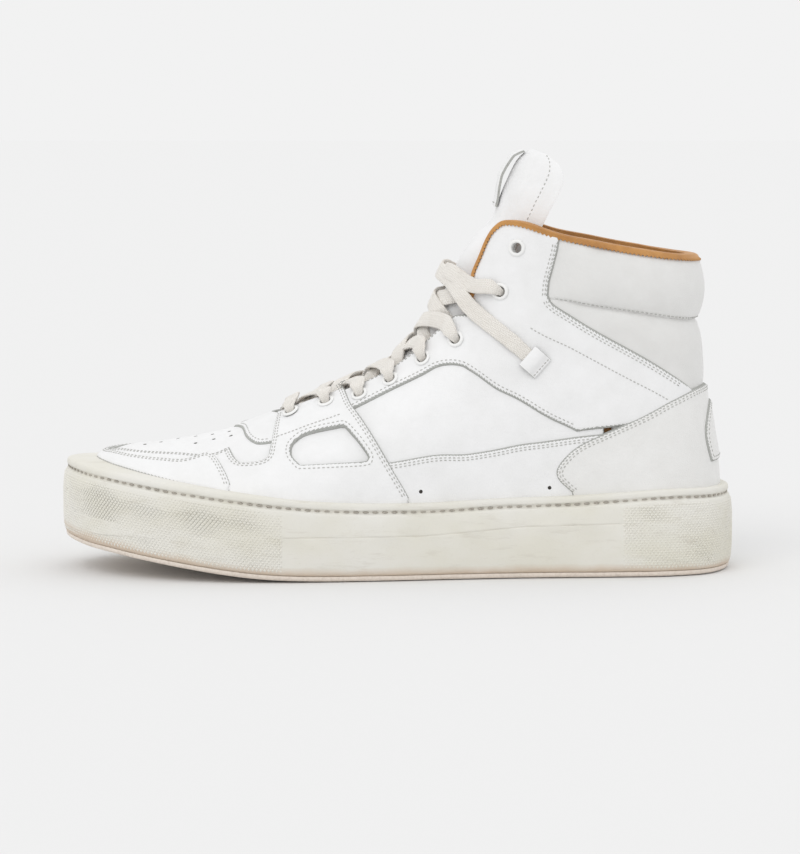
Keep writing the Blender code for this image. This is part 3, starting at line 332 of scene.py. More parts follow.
def evenly(gt, step):
    """The line again, with its points evenly spaced on the shoe."""
    spots = shell(gt[:, 0], gt[:, 1])
    far = np.concatenate([[0], np.cumsum(np.linalg.norm(np.diff(spots, axis=0), axis=1))])
    count = max(2, round(far[-1] / step) + 1)
    at = np.linspace(0, far[-1], count)
    return np.stack([np.interp(at, far, gt[:, k]) for k in (0, 1)], 1)


def inset(gt, distance):
    """The closed line moved inwards over the shoe's surface by a distance."""
    gt = np.asarray(gt, float)
    spots = shell(gt[:, 0], gt[:, 1])
    normals = shell_normal(gt[:, 0], gt[:, 1])
    flat = flatten(gt)
    x, y = flat[:, 0], flat[:, 1]
    area = (x * np.roll(y, -1) - np.roll(x, -1) * y).sum()
    sign = 1.0 if area > 0 else -1.0
    before, after = spots - np.roll(spots, 1, axis=0), np.roll(spots, -1, axis=0) - spots
    before = before / np.maximum(np.linalg.norm(before, axis=1, keepdims=True), 1e-6)
    after = after / np.maximum(np.linalg.norm(after, axis=1, keepdims=True), 1e-6)
    middle = before + after
    size = np.maximum(np.linalg.norm(middle, axis=1, keepdims=True), 1e-6)
    inward = np.cross(middle / size, normals) * sign
    scale = 1.0 / np.maximum(size / 2, 0.6)
    g, t = nudge(gt[:, 0], gt[:, 1], inward * scale * distance)
    return np.stack([g, t], 1)


def nearest(points, starts, ends, block=1500):
    """How far each point is from the nearest of these short straight edges."""
    best = np.full(len(points), 1e9)
    span = ends - starts
    length = np.maximum((span ** 2).sum(1), 1e-9)
    for first in range(0, len(points), block):
        some = points[first:first + block]
        share = np.clip(((some[:, None] - starts) * span).sum(-1) / length, 0, 1)
        away = np.linalg.norm(some[:, None] - starts - share[..., None] * span, axis=-1)
        best[first:first + block] = away.min(1)
    return best


def on_fold(g, t):
    """Whether a point lies on the vamp ridge or on the heel line, where a piece runs on."""
    g, t = np.asarray(g), np.asarray(t)
    folded = 1 - np.abs(1 - np.mod(g, 2.0))
    ridge = (t > 0.9995) & (folded > RIDGE_START - 1e-4)
    seam = (np.abs(g) < 1e-6) | (np.abs(g - 2) < 1e-6)
    return ridge | seam


def mesh_object(name, points, faces, materials, face_material=None, sharp=50.0, merge=2e-6):
    """A mesh from points in millimetres, smooth apart from its sharp edges."""
    mesh = bpy.data.meshes.new(name)
    bm = bmesh.new()
    kinds = face_material if face_material is not None else [0] * len(faces)
    verts = [bm.verts.new(np.asarray(p, float) * MM) for p in points]
    for face, kind in zip(faces, kinds):
        if len(set(face)) < len(face):
            continue
        try:
            made = bm.faces.new([verts[int(k)] for k in face])
        except ValueError:
            continue
        made.material_index = int(kind)
        made.smooth = True
    if merge:
        bmesh.ops.remove_doubles(bm, verts=bm.verts, dist=merge)
        bmesh.ops.dissolve_degenerate(bm, edges=bm.edges, dist=1e-7)
    bmesh.ops.recalc_face_normals(bm, faces=bm.faces)
    bm.to_mesh(mesh)
    bm.free()
    mesh.set_sharp_from_angle(angle=math.radians(sharp))
    for mat in materials:
        mesh.materials.append(mat)
    obj = bpy.data.objects.new(name, mesh)
    bpy.context.scene.collection.objects.link(obj)
    return obj


def fold_evenly(ring):
    """The outline with its points along the vamp ridge at set places, so that mirrored runs meet."""
    gt = unflatten(ring)
    folded = 1 - np.abs(1 - np.mod(gt[:, 0], 2.0))
    ridge = (gt[:, 1] > 0.985) & (folded > RIDGE_START + 0.001)
    gt[ridge, 1] = 1.0
    points = []
    for k in range(len(gt)):
        after = (k + 1) % len(gt)
        if not (ridge[k] and ridge[k - 1] and ridge[after]):
            points.append(tuple(gt[k]))
        if ridge[k] and ridge[after]:
            start, end = gt[k, 0], gt[after, 0]
            low, high = sorted((start, end))
            marks = [m * RIDGE_STEP for m in range(math.ceil(low / RIDGE_STEP + 0.05),
                                                   math.floor(high / RIDGE_STEP - 0.05) + 1)]
            points += [(mark, 1.0) for mark in (marks if end > start else marks[::-1])]
    return flatten(points)


def leather_parts(ring, low, high, holes=(), cut_holes=(), bevel=0.8, edge_share=0.35,
                  lattice=LATTICE):
    """Points, faces and material numbers of a cut piece of leather on the shoe.

    It lies from a height low to a height high over the shell. Its edge, and that of each cut
    hole, slopes up over the width bevel, and the slope takes the second material.
    """
    ring = fold_evenly(ring)
    rings = [ring] + list(cut_holes)
    extra = []
    starts, ends = [], []
    for number, edge in enumerate(rings):
        gt = unflatten(edge)
        real = ~on_fold(gt[:, 0], gt[:, 1])
        for distance in (0.5 * bevel, bevel, bevel + 0.9):
            extra.append(flatten(inset(gt, -distance if number else distance))[real])
        after = np.roll(gt, -1, axis=0)
        real = ~(on_fold(gt[:, 0], gt[:, 1]) & on_fold(after[:, 0], after[:, 1]))
        starts.append(shell(gt[:, 0], gt[:, 1])[real])
        ends.append(shell(after[:, 0], after[:, 1])[real])
    for hole in holes:
        extra.append(flatten(inset(unflatten(hole), -0.6)))
    flat, faces = pattern_triangles(ring, list(holes) + list(cut_holes), lattice, extra, bevel)
    g, t = pattern_place(flat)
    away = nearest(shell(g, t), np.concatenate(starts), np.concatenate(ends))
    top = high(g, t) if callable(high) else np.full(len(g), float(high))
    base = low(g, t) if callable(low) else np.full(len(g), float(low))
    rise = np.interp(away, [0, 0.5 * bevel, bevel, bevel + 0.9], [edge_share, 0.78, 0.95, 1.0])
    upper = base + (top - base) * rise
    count = len(flat)
    points = np.concatenate([laid(g, t, base), laid(g, t, upper)])
    solid = [tuple(f) for f in faces] + [tuple(f[::-1] + count) for f in faces]
    # The band next to the edge takes the second material: the grey raw edge and painted shadow of the
    # step.
    kinds = [0] * len(faces) + [int(m < 0.8 * bevel) for m in away[faces].mean(1)]
    uses = {}
    for a, b, c in faces:
        for edge in ((a, b), (b, c), (c, a)):
            uses.setdefault(frozenset(edge), []).append(edge)
    for pair in uses.values():
        if len(pair) > 1:
            continue
        a, b = pair[0]
        if bool(on_fold(g[a], t[a])) and bool(on_fold(g[b], t[b])):
            continue
        solid.append((b, a, a + count, b + count))
        kinds.append(1)
    return points, solid, kinds


def leather_piece(name, ring, low, high, materials, **options):
    """A cut piece of leather as one object."""
    points, solid, kinds = leather_parts(ring, low, high, **options)
    return mesh_object(name, points, solid, materials, kinds)


# ---------------------------------------------------------------- lines on the upper
HEEL_TOP = (0.0, 0.992)
COLLAR = [side(x, z) for x, z in (
    (47.9, 155.6), (52.6, 155.6), (59.2, 154.1), (72.6, 149.6),
    (86.1, 147.0), (107.4, 143.1), (120.4, 141.1))]
FLAP_FRONT = [side(x, z) for x, z in (
    (33.9, 121.3), (34.6, 131.2), (38.4, 141.4), (41.7, 149.3), (45.0, 153.9), (47.9, 155.6))]
NOTCH = side(38.2, 113.6)
FACING_TOP = [side(26.2, 113.9), side(23.8, 111.8)]
FACING = [FACING_TOP[-1], (0.489, 0.865), (0.535, 0.865), (0.580, 0.86), (0.612, 0.865)]
FACING_FRONT = [(0.612, 0.865), (0.66, 0.87), (0.700, 0.875)]
WINDOW_TOP = [side(x, z) for x, z in (
    (-16.5, 73.6), (-3.0, 80.5), (10.5, 87.2), (17.2, 91.0), (22.0, 92.3), (27.4, 92.2),
    (32.0, 90.2), (50.8, 79.1), (69.6, 68.4), (77.8, 62.8))]
LOWER_TOP = [side(x, z) for x, z in (
    (-25.0, 49.0), (-3.0, 51.1), (24.4, 54.4), (50.7, 58.0), (77.8, 61.6), (93.5, 64.8))]
COUNTER_TOP = [side(x, z) for x, z in ((93.4, 64.4), (106.8, 70.3), (120.2, 77.2), (129.6, 81.4))]
COUNTER_FRONT = [side(x, z) for x, z in (
    (76.3, 37.4), (70.7, 42.6), (69.5, 47.0), (72.5, 52.1), (79.5, 58.1), (93.4, 64.4))]
QUARTER_REAR = [side(x, z) for x, z in (
    (-24.4, 80.9), (-20.5, 75.3), (-16.0, 69.4), (-5.1, 52.9), (2.2, 40.8), (4.8, 36.2))]
COLLAR_FRONT = [side(x, z) for x, z in (
    (71.3, 149.9), (70.1, 142.8), (68.4, 136.1), (66.7, 129.4), (66.2, 123.8))]
ANKLE_EDGE = [side(x, z) for x, z in (
    (66.2, 123.8), (69.1, 119.5), (85.2, 109.4), (105.5, 98.1), (127.0, 83.5))]
QUARTER_FRONT = [side(x, z) for x, z in (
    (-54.4, 62.4), (-55.6, 56.0), (-57.7, 51.3), (-67.1, 49.8), (-70.8, 51.0), (-74.1, 55.3))]
WING_TOP = [QUARTER_FRONT[-1], (0.793, 0.54), (0.845, 0.585), (0.915, 0.63)]
GUARD_REAR = [side(x, z) for x, z in (
    (-84.2, 52.5), (-80.4, 51.7), (-77.3, 49.0), (-74.1, 44.4), (-72.5, 40.8))]
GUARD_TOP = [(0.93, 0.53), (0.862, 0.493), (0.823, 0.476), GUARD_REAR[0]]
D_WINDOW = [side(x, z) for x, z in (
    (-42.5, 49.6), (-45.9, 53.0), (-46.0, 56.5), (-44.2, 58.7), (-40.9, 60.9), (-33.8, 63.0),
    (-26.7, 64.6), (-23.3, 65.1), (-20.9, 63.0), (-17.1, 59.0), (-12.8, 53.1), (-13.3, 51.7),
    (-21.8, 50.8))]
THROAT = [(0.766, 0.846), (0.749, 0.688), (0.733, 0.602), (0.718, 0.562), (0.690, 0.553)]
EYELETS = [(0.675, 0.78), (0.626, 0.775), (0.579, 0.75), (0.535, 0.77), (0.489, 0.771),
           (0.438, 0.735), (0.351, 0.792), (0.321, 0.917)]
VENTS = [side(9.9, 38.6), side(66.7, 39.6)]


def above_cup(g, rise=-1.6):
    """t just below the top edge of the cup, where the leather goes into it."""
    value = station_at(np.array(g))[0]
    ts = np.linspace(0, 0.6, 400)
    heights = shell(np.full(400, g), ts)[:, 2]
    return float(np.interp(value[13] + rise, heights, ts))


def cup_line(start, end, count=9):
    """Points along the cup, just below its top edge."""
    return [(g, above_cup(g)) for g in np.linspace(start, end, count)]


def round_hole(centre, radius, sides=20):
    """A hole in a pattern, round on the shoe."""
    g, t = centre
    step = 1e-3
    along = (shell(g + step, t) - shell(g - step, t)) / (2 * step)
    up = (shell(g, t + step) - shell(g, t - step)) / (2 * step)
    first = along / np.linalg.norm(along)
    second = up - first * (up @ first)
    second = second / np.linalg.norm(second)
    spots = []
    for k in range(sides):
        turn = 2 * math.pi * (k + 0.5) / sides
        spoke = (first * math.cos(turn) + second * math.sin(turn)) * radius
        move = np.linalg.lstsq(np.stack([along, up], 1), spoke, rcond=None)[0]
        spots.append((g + move[0], t + move[1]))
    return flatten(spots)


EYELET_HOLES = [round_hole(centre, LEATHER_HOLE) for centre in EYELETS]
FOLD = [(RIDGE_START + 0.006, 1.0), (0.765, 1.0), (0.824, 1.0), (0.882, 1.0), (1.0, 1.0)]


def over_ridge(first):
    """The fold along the vamp ridge, from the outer side to the inner and in that order."""
    near = [first] + [p for p in FOLD if p[0] > first[0] + 0.01]
    return [(2 - g, t) for g, t in near], near[::-1]


# ---------------------------------------------------------------- camera, light and floor
EYE = (0.0011, -1.5, 0.215)
AIM = (0.0011, 0.0, 0.06265)
LENS = 150.8
PAPER = 0.887
SUNS = [((-0.45, -0.80, 0.95), 0.62, 40), ((0.35, 0.55, 1.0), 0.25, 60)]
FLOOR_SHADE = 0.80
WHITE_TONE = (0.88, 0.88, 0.885)
WHITE_DULL = (0.83, 0.83, 0.83)
TAN_TONE = (0.60, 0.30, 0.085)
TAN_DARK = (0.42, 0.19, 0.05)
# Grey of the cut edges: the raw edge's own grey, darkened as painted shadow of each overlay's step.
EDGE_GREY_AND_SHADE = (0.50, 0.51, 0.49)
EDGE_DARK = (0.34, 0.34, 0.32)
# Grey of the upper's stitching: the thread's own colour with the shade along its stitches painted in.
THREAD_TONE_AND_SHADE = (0.60, 0.60, 0.57)
THREAD_DARK = (0.42, 0.42, 0.40)
RUBBER_TONE = (0.775, 0.76, 0.71)
RUBBER_YELLOW = (0.735, 0.715, 0.635)
RUBBER_DIRT_AND_SHADE = (0.55, 0.51, 0.44)
RUBBER_TAN = (0.60, 0.48, 0.37)
OUTSOLE_TONE = (0.80, 0.72, 0.64)
OUTSOLE_DIRTY = (0.60, 0.52, 0.44)
COTTON_TONE = (0.95, 0.92, 0.87)
COTTON_SHADE_AND_GRIME = (0.80, 0.75, 0.68)


def build_stage():
    """A pale seamless floor in soft studio light, and the camera."""
    scene = bpy.context.scene
    scene.view_settings.view_transform = "Standard"
    world = bpy.data.worlds.new("studio")
    world.use_nodes = True
    sky = world.node_tree.nodes["Background"]
    sky.inputs["Color"].default_value = (PAPER, PAPER, PAPER, 1)
    sky.inputs["Strength"].default_value = 1.0
    scene.world = world
    for number, (towards, strength, spread) in enumerate(SUNS):
        light = bpy.data.lights.new(f"soft_light_{number}", "SUN")
        light.energy = strength
        light.angle = math.radians(spread)
        lamp = bpy.data.objects.new(light.name, light)
        lamp.rotation_mode = "QUATERNION"
        lamp.rotation_quaternion = Vector(towards).to_track_quat("Z", "Y")
        scene.collection.objects.link(lamp)
    floor_mesh = bpy.data.meshes.new("floor")
    half = 12.0
    corners = [(-half, -half, 0), (half, -half, 0), (half, half, 0), (-half, half, 0)]
    floor_mesh.from_pydata(corners, [], [(0, 1, 2, 3)])
    floor = bpy.data.objects.new("floor", floor_mesh)
    scene.collection.objects.link(floor)
    floor.location.z = -0.0002
    paper = bpy.data.materials.new("paper")
    paper.use_nodes = True
    shader = paper.node_tree.nodes["Principled BSDF"]
    shader.inputs["Base Color"].default_value = (*[FLOOR_SHADE] * 3, 1)
    shader.inputs["Roughness"].default_value = 1.0
    shader.inputs["Specular IOR Level"].default_value = 0.0
    floor_mesh.materials.append(paper)
    camera = bpy.data.objects.new("camera", bpy.data.cameras.new("camera"))
    camera.data.lens = LENS
    camera.data.sensor_width = 36.0
    camera.data.sensor_fit = "HORIZONTAL"
    camera.data.clip_start = 0.05
    camera.data.clip_end = 60.0
    camera.location = EYE
    camera.rotation_mode = "QUATERNION"
    camera.rotation_quaternion = (Vector(EYE) - Vector(AIM)).to_track_quat("Z", "Y")
    scene.collection.objects.link(camera)
    scene.camera = camera


# ---------------------------------------------------------------- materials
class Nodes:
    """Short names for making a node material."""

    def __init__(self, name, colour, roughness):
        self.material = bpy.data.materials.new(name)
        self.material.use_nodes = True
        self.tree = self.material.node_tree
        self.shader = self.tree.nodes["Principled BSDF"]
        self.shader.inputs["Base Color"].default_value = (*colour, 1.0)
        self.shader.inputs["Roughness"].default_value = roughness
        self.place = self.tree.nodes.new("ShaderNodeTexCoord").outputs["Object"]

    def put(self, socket, value):
        """Links an output to a socket, or sets a plain value on it."""
        if isinstance(value, bpy.types.NodeSocket):
            self.tree.links.new(value, socket)
        else:
            socket.default_value = value

    def stretch(self, scale, place=None):
        node = self.tree.nodes.new("ShaderNodeMapping")
        self.put(node.inputs["Vector"], place or self.place)
        node.inputs["Scale"].default_value = scale
        return node.outputs["Vector"]

    def noise(self, scale, detail=3.0, place=None, rough=0.55):
        node = self.tree.nodes.new("ShaderNodeTexNoise")
        self.put(node.inputs["Vector"], place or self.place)
        node.inputs["Scale"].default_value = scale
        node.inputs["Detail"].default_value = detail
        node.inputs["Roughness"].default_value = rough
        return node.outputs["Fac"]

    def cells(self, scale, feature="F1", place=None):
        node = self.tree.nodes.new("ShaderNodeTexVoronoi")
        self.put(node.inputs["Vector"], place or self.place)
        node.feature = feature
        node.inputs["Scale"].default_value = scale
        return node.outputs["Distance"]

    def maths(self, kind, a, b=0.0, c=0.0):
        node = self.tree.nodes.new("ShaderNodeMath")
        node.operation = kind
        self.put(node.inputs[0], a)
        self.put(node.inputs[1], b)
        if kind in ("MULTIPLY_ADD", "WRAP", "COMPARE"):
            self.put(node.inputs[2], c)
        return node.outputs[0]

    def span(self, value, low, high, to_low, to_high):
        node = self.tree.nodes.new("ShaderNodeMapRange")
        self.put(node.inputs["Value"], value)
        for label, number in (("From Min", low), ("From Max", high),
                              ("To Min", to_low), ("To Max", to_high)):
            node.inputs[label].default_value = number
        return node.outputs["Result"]

    def mix(self, share, first, second):
        node = self.tree.nodes.new("ShaderNodeMix")
        node.data_type = "RGBA"
        self.put(node.inputs["Factor"], share)
        for socket, value in ((node.inputs["A"], first), (node.inputs["B"], second)):
            self.put(socket, (*value, 1.0) if isinstance(value, tuple) else value)
        return node.outputs["Result"]

    def attribute(self, name):
        node = self.tree.nodes.new("ShaderNodeAttribute")
        node.attribute_name = name
        return node

    def bump(self, height, distance, strength=1.0, after=None):
        node = self.tree.nodes.new("ShaderNodeBump")
        self.put(node.inputs["Height"], height)
        node.inputs["Distance"].default_value = distance
        node.inputs["Strength"].default_value = strength
        if after is not None:
            self.put(node.inputs["Normal"], after)
        return node.outputs["Normal"]

    def finish(self, colour=None, roughness=None, normal=None):
        if colour is not None:
            self.put(self.shader.inputs["Base Color"], colour)
        if roughness is not None:
            self.put(self.shader.inputs["Roughness"], roughness)
        if normal is not None:
            self.put(self.shader.inputs["Normal"], normal)
        return self.material


def leather_material(name, colour, dull, rough=0.42, grain=1.0, sheen=0.0):
    """Smooth finished leather: fine pores, faint creases, soft changes of shade and gloss."""
    n = Nodes(name, colour, rough)
    n.shader.inputs["Specular IOR Level"].default_value = 0.42
    n.shader.inputs["Coat Weight"].default_value = 0.10
    n.shader.inputs["Coat Roughness"].default_value = 0.28
    n.shader.inputs["Sheen Weight"].default_value = sheen
    broad = n.noise(42.0, 4.0)
    cloudy = n.noise(150.0, 5.0)
    shade = n.maths("MULTIPLY_ADD", broad, 0.6, n.maths("MULTIPLY", cloudy, 0.4))
    tone = n.mix(n.span(shade, 0.38, 0.66, 1.0, 0.0), colour, dull)
    gloss = n.span(n.noise(75.0, 4.0), 0.3, 0.7, rough - 0.06, rough + 0.10)
    pores = n.cells(1500.0, "DISTANCE_TO_EDGE")
    pores = n.span(pores, 0.0, 0.18, 0.0, 1.0)
    fine = n.noise(2600.0, 2.0)
    crease = n.noise(120.0, 6.0, n.stretch((1.0, 1.0, 2.6)), 0.65)
    height = n.maths("MULTIPLY_ADD", fine, 0.5, pores)
    normal = n.bump(height, 0.00006 * grain, 0.55)
    normal = n.bump(crease, 0.0012 * grain, 0.16, normal)
    return n.finish(tone, gloss, normal)


def edge_material():
    """Raw cut edge of coated leather: grey, fibrous. Its grey is partly painted shadow, standing in
    for the shade of the step at each overlay's edge.
    """
    n = Nodes("cut_edge_and_painted_shade", EDGE_GREY_AND_SHADE, 0.85)
    n.shader.inputs["Specular IOR Level"].default_value = 0.2
    fibre = n.noise(1800.0, 4.0)
    tone = n.mix(n.span(fibre, 0.3, 0.7, 0.0, 1.0), EDGE_GREY_AND_SHADE, EDGE_DARK)
    return n.finish(tone, None, n.bump(fibre, 0.0002, 0.6))


def thread_material(name, colour, dark):
    """Twisted sewing thread."""
    n = Nodes(name, colour, 0.7)
    twist = n.noise(3200.0, 3.0)
    return n.finish(n.mix(n.span(twist, 0.35, 0.65, 0.0, 1.0), colour, dark), None,
                    n.bump(twist, 0.0001, 0.5))


def rubber_material(name, marked):
    """Off-white cup rubber, yellowed in patches and scuffed, with a dirtier bottom edge and painted
    shade in its stitched groove and along its wall line.
    """
    n = Nodes(name, RUBBER_TONE, 0.62)
    n.shader.inputs["Specular IOR Level"].default_value = 0.35
    patch = n.noise(22.0, 4.0, n.stretch((1.0, 1.0, 1.8)))
    tone = n.mix(n.span(patch, 0.40, 0.66, 0.0, 1.0), RUBBER_TONE, RUBBER_YELLOW)
    scuff = n.noise(160.0, 6.0, n.stretch((0.35, 1.0, 2.2)), 0.7)
    tone = n.mix(n.span(scuff, 0.56, 0.80, 0.0, 0.55), tone, RUBBER_DIRT_AND_SHADE)
    if marked:
        level = n.attribute("level").outputs["Fac"]
        low = n.maths("MULTIPLY_ADD", n.noise(90.0, 4.0), -0.12, level)
        tone = n.mix(n.span(low, -0.04, 0.10, 0.85, 0.0), tone, RUBBER_TAN)
        # Painted shade: the seam numbers darken the bottom of the stitched groove and of the line
        # along the wall.
        seam = n.attribute("seam").outputs["Fac"]
        tone = n.mix(n.span(seam, 0.0, 1.0, 0.0, 0.55), tone, RUBBER_DIRT_AND_SHADE)
    fine = n.noise(900.0, 5.0, None, 0.7)
    normal = n.bump(fine, 0.00012, 0.5 if marked else 0.1)
    if marked:
        tone = n.mix(n.span(fine, 0.58, 0.82, 0.0, 0.35), tone, RUBBER_DIRT_AND_SHADE)
        normal = n.bump(n.noise(60.0, 3.0), 0.0012, 0.12, normal)
    gloss = n.span(patch, 0.3, 0.7, 0.56, 0.72)
    return n.finish(tone, gloss, normal)


def outsole_material():
    """Worn crepe-coloured rubber."""
    n = Nodes("outsole_rubber", OUTSOLE_TONE, 0.75)
    grit = n.noise(600.0, 6.0, None, 0.7)
    tone = n.mix(n.span(grit, 0.45, 0.75, 0.0, 0.7), OUTSOLE_TONE, OUTSOLE_DIRTY)
    return n.finish(tone, None, n.bump(grit, 0.0003, 0.6))


def lace_material():
    """Flat woven cotton: short slanted stitches in columns along the lace."""
    n = Nodes("lace_cotton", COTTON_TONE, 0.92)
    n.shader.inputs["Sheen Weight"].default_value = 0.35
    n.shader.inputs["Sheen Roughness"].default_value = 0.6
    n.shader.inputs["Specular IOR Level"].default_value = 0.15
    split = n.tree.nodes.new("ShaderNodeSeparateXYZ")
    n.put(split.inputs[0], n.attribute("weave").outputs["Vector"])
    along, across = split.outputs[0], split.outputs[1]
    column = n.maths("MULTIPLY", across, 7.0)
    zig = n.maths("PINGPONG", column, 1.0)
    slant = n.maths("MULTIPLY_ADD", zig, 0.9, n.maths("MULTIPLY", along, 1.15))
    rib = n.maths("ABSOLUTE", n.maths("SINE", n.maths("MULTIPLY", slant, math.pi)))
    groove = n.maths("ABSOLUTE", n.maths("SINE", n.maths("MULTIPLY", column, math.pi)))
    weave = n.maths("MULTIPLY", rib, n.maths("POWER", groove, 0.35))
    fluff = n.noise(1800.0, 4.0, None, 0.7)
    # Painted shade: the colour darkens in the weave's grooves; the same darker colour in random
    # patches further on is grime.
    shade = n.span(weave, 0.0, 0.75, 1.0, 0.0)
    tone = n.mix(shade, COTTON_TONE, COTTON_SHADE_AND_GRIME)
    grime = n.noise(70.0, 5.0)
    tone = n.mix(n.span(grime, 0.50, 0.72, 0.0, 0.5), tone, COTTON_SHADE_AND_GRIME)
    normal = n.bump(weave, 0.00035, 0.75)
    normal = n.bump(fluff, 0.0002, 0.35, normal)
    return n.finish(tone, None, normal)


def enamel_material():
    """White enamel, chipped to grey in places."""
    n = Nodes("eyelet_enamel", (0.86, 0.86, 0.85), 0.30)
    n.shader.inputs["Coat Weight"].default_value = 0.3
    n.shader.inputs["Coat Roughness"].default_value = 0.15
    wear = n.noise(700.0, 5.0, None, 0.7)
    tone = n.mix(n.span(wear, 0.60, 0.80, 0.0, 0.5), (0.86, 0.86, 0.85), (0.55, 0.54, 0.52))
    return n.finish(tone, n.span(wear, 0.3, 0.8, 0.24, 0.45), n.bump(wear, 0.0001, 0.3))


def felt_material(name, colour, dark):
    """Pressed fibre."""
    n = Nodes(name, colour, 0.95)
    fibre = n.noise(900.0, 6.0, None, 0.75)
    tone = n.mix(n.span(fibre, 0.35, 0.65, 0.0, 1.0), colour, dark)
    return n.finish(tone, None, n.bump(fibre, 0.0005, 0.6))


build_stage()
WHITE_LEATHER = leather_material("white_leather", WHITE_TONE, WHITE_DULL)
TAN_LEATHER = leather_material("tan_leather", TAN_TONE, TAN_DARK, 0.55, 0.8, 0.05)
CUT_EDGE_AND_SHADE = edge_material()
THREAD = thread_material("stitch_thread_painted_shade", THREAD_TONE_AND_SHADE, THREAD_DARK)
SOLE_THREAD = thread_material("sole_thread", (0.50, 0.46, 0.40), (0.34, 0.31, 0.27))
CUP_RUBBER = rubber_material("cup_rubber", True)
OUTSOLE_RUBBER = outsole_material()
LACE_COTTON = lace_material()
ENAMEL = enamel_material()
LEATHER = [WHITE_LEATHER, CUT_EDGE_AND_SHADE]
# Painted shade: darker copies of the white leather for the ankle panel and collar, and a less dark one
# for the heel counter and patch, standing in for the light falling off towards the back of the shoe.
ANKLE_SHADED_LEATHER = leather_material("ankle_leather", (0.79, 0.787, 0.775), (0.75, 0.745, 0.73))
COUNTER_SHADED_LEATHER = leather_material("counter_leather_painted_shade", (0.83, 0.827, 0.815), (0.79, 0.785, 0.77))
FOOTBED_LEATHER = leather_material("footbed_leather", TAN_TONE, TAN_DARK, 0.7, 1.2, 0.1)
DIAMOND_RUBBER = rubber_material("diamond_rubber", False)


# ---------------------------------------------------------------- stitching
def spans_of(*runs):
    """The outline of these runs, and where each run starts and ends in it."""
    ring = []
    spans = []
    for run in runs:
        start = max(len(ring) - 1, 0)
        for point in smooth(run):
            if not ring or math.dist(ring[-1], point) > 0.3:
                ring.append(point)
        spans.append((start, len(ring)))
    if math.dist(ring[0], ring[-1]) < 0.3:
        ring.pop()
    return np.array(ring), spans


class Seams:
    """Collects stitches and makes them into one piece."""

    def __init__(self, length=1.4, width=0.5, tall=0.32):
        self.points = []
        self.faces = []
        self.size = (length, width, tall)

    def stitch(self, at, ahead, normal):
        """A small pillow of thread lying on the leather."""
        length, width, tall = self.size
        side_way = np.cross(normal, ahead)
        base = len(self.points)
        self.points.append(at - ahead * length / 2 - normal * 0.12)
        for share in (-0.28, 0.28):
            for across, up in ((-0.5, -0.2), (-0.32, 0.75), (0.32, 0.75), (0.5, -0.2)):
                self.points.append(at + ahead * length * share + side_way * width * across
                                   + normal * tall * up)
        self.points.append(at + ahead * length / 2 - normal * 0.12)
        for k in range(4):
            n = (k + 1) % 4
            self.faces.append((base, base + 1 + n, base + 1 + k))
            self.faces.append((base + 1 + k, base + 1 + n, base + 5 + n, base + 5 + k))
            self.faces.append((base + 5 + k, base + 5 + n, base + 9))

    def row(self, gt, height, pitch=2.0, both=True):
        """A row along a line on the shoe and, for both, the same row on the inner side."""
        if len(gt) < 2:
            return
        gt = evenly(gt, pitch)
        for line in ([gt, gt * (-1, 1) + (2, 0)] if both else [gt]):
            g, t = line[:, 0], line[:, 1]
            lift = height(g, t) if callable(height) else np.full(len(g), float(height))
            spots, normals = laid(g, t, lift), shell_normal(g, t)
            for k in range(len(line) - 1):
                ahead = spots[k + 1] - spots[k]
                size = np.linalg.norm(ahead)
                if size > 0.5 * pitch:
                    self.stitch((spots[k] + spots[k + 1]) / 2, ahead / size, normals[k])

    def along(self, ring, span, distances, height, both=True, trim=(0, 0)):
        """Rows at these distances inside one run of a piece's outline."""
        gt = unflatten(ring)
        for distance in distances:
            line = inset(gt, distance)[span[0] + trim[0]:span[1] - trim[1]]
            self.row(line, height, both=both)

    def piece(self, name, mat):
        return mesh_object(name, self.points, self.faces, [mat], sharp=180.0, merge=0)


SEAMS = Seams()

# ---------------------------------------------------------------- leather pieces
BASE_TOP = 1.1
OVERLAY_TOP = 2.3
THROAT_TOP = 2.0
COUNTER_TOP_HEIGHT = 3.3
PATCH_TOP = 4.3
UNDER = 0.9
DOUBLE_ROW = (1.5, 2.6)


def folded_of(g):
    """g counted from the heel on either side."""
    return 1 - np.abs(1 - np.mod(g, 2.0))


def quarter_top(g, _):
    """Outer face of the front quarter: highest where it laps over the eyestay."""
    return np.interp(folded_of(g), [0.60, 0.63, 0.66, 0.70, 0.77, 0.80],
                     [3.5, 3.4, 2.9, 2.9, 2.2, 2.1])


def guard_top(g, _):
    """Outer face of the toe guard, over the wings of the front quarters."""
    return np.interp(folded_of(g), [0.74, 0.80], [3.2, 3.1])


def collar_top(g, t):
    """Outer face of the collar: full in the middle, thin at its edges and under the flap."""
    folded = folded_of(g)
    up = np.clip((t - 0.795) / 0.197, 0, 1)
    back = np.clip((0.262 - folded) / 0.05, 0, 1)
    back = back * back * (3 - 2 * back)
    swell = np.clip(np.sin(math.pi * up), 0, 1) ** 0.55
    return BASE_TOP + 4.4 * swell * back


def ankle_top(g, t):
    """Outer face of the ankle panel: it swells a little under the collar."""
    up = np.clip((t - 0.50) / 0.29, 0, 1)
    folded = folded_of(g)
    edge = np.interp(folded, [0.0, 0.066, 0.147, 0.21, 0.262], [0.50, 0.55, 0.665, 0.732, 0.788])
    clear = np.clip((t - edge) / 0.10, 0, 1)
    return BASE_TOP + 2.3 * np.sin(math.pi * up ** 1.6) ** 0.7 * clear * clear * (3 - 2 * clear)


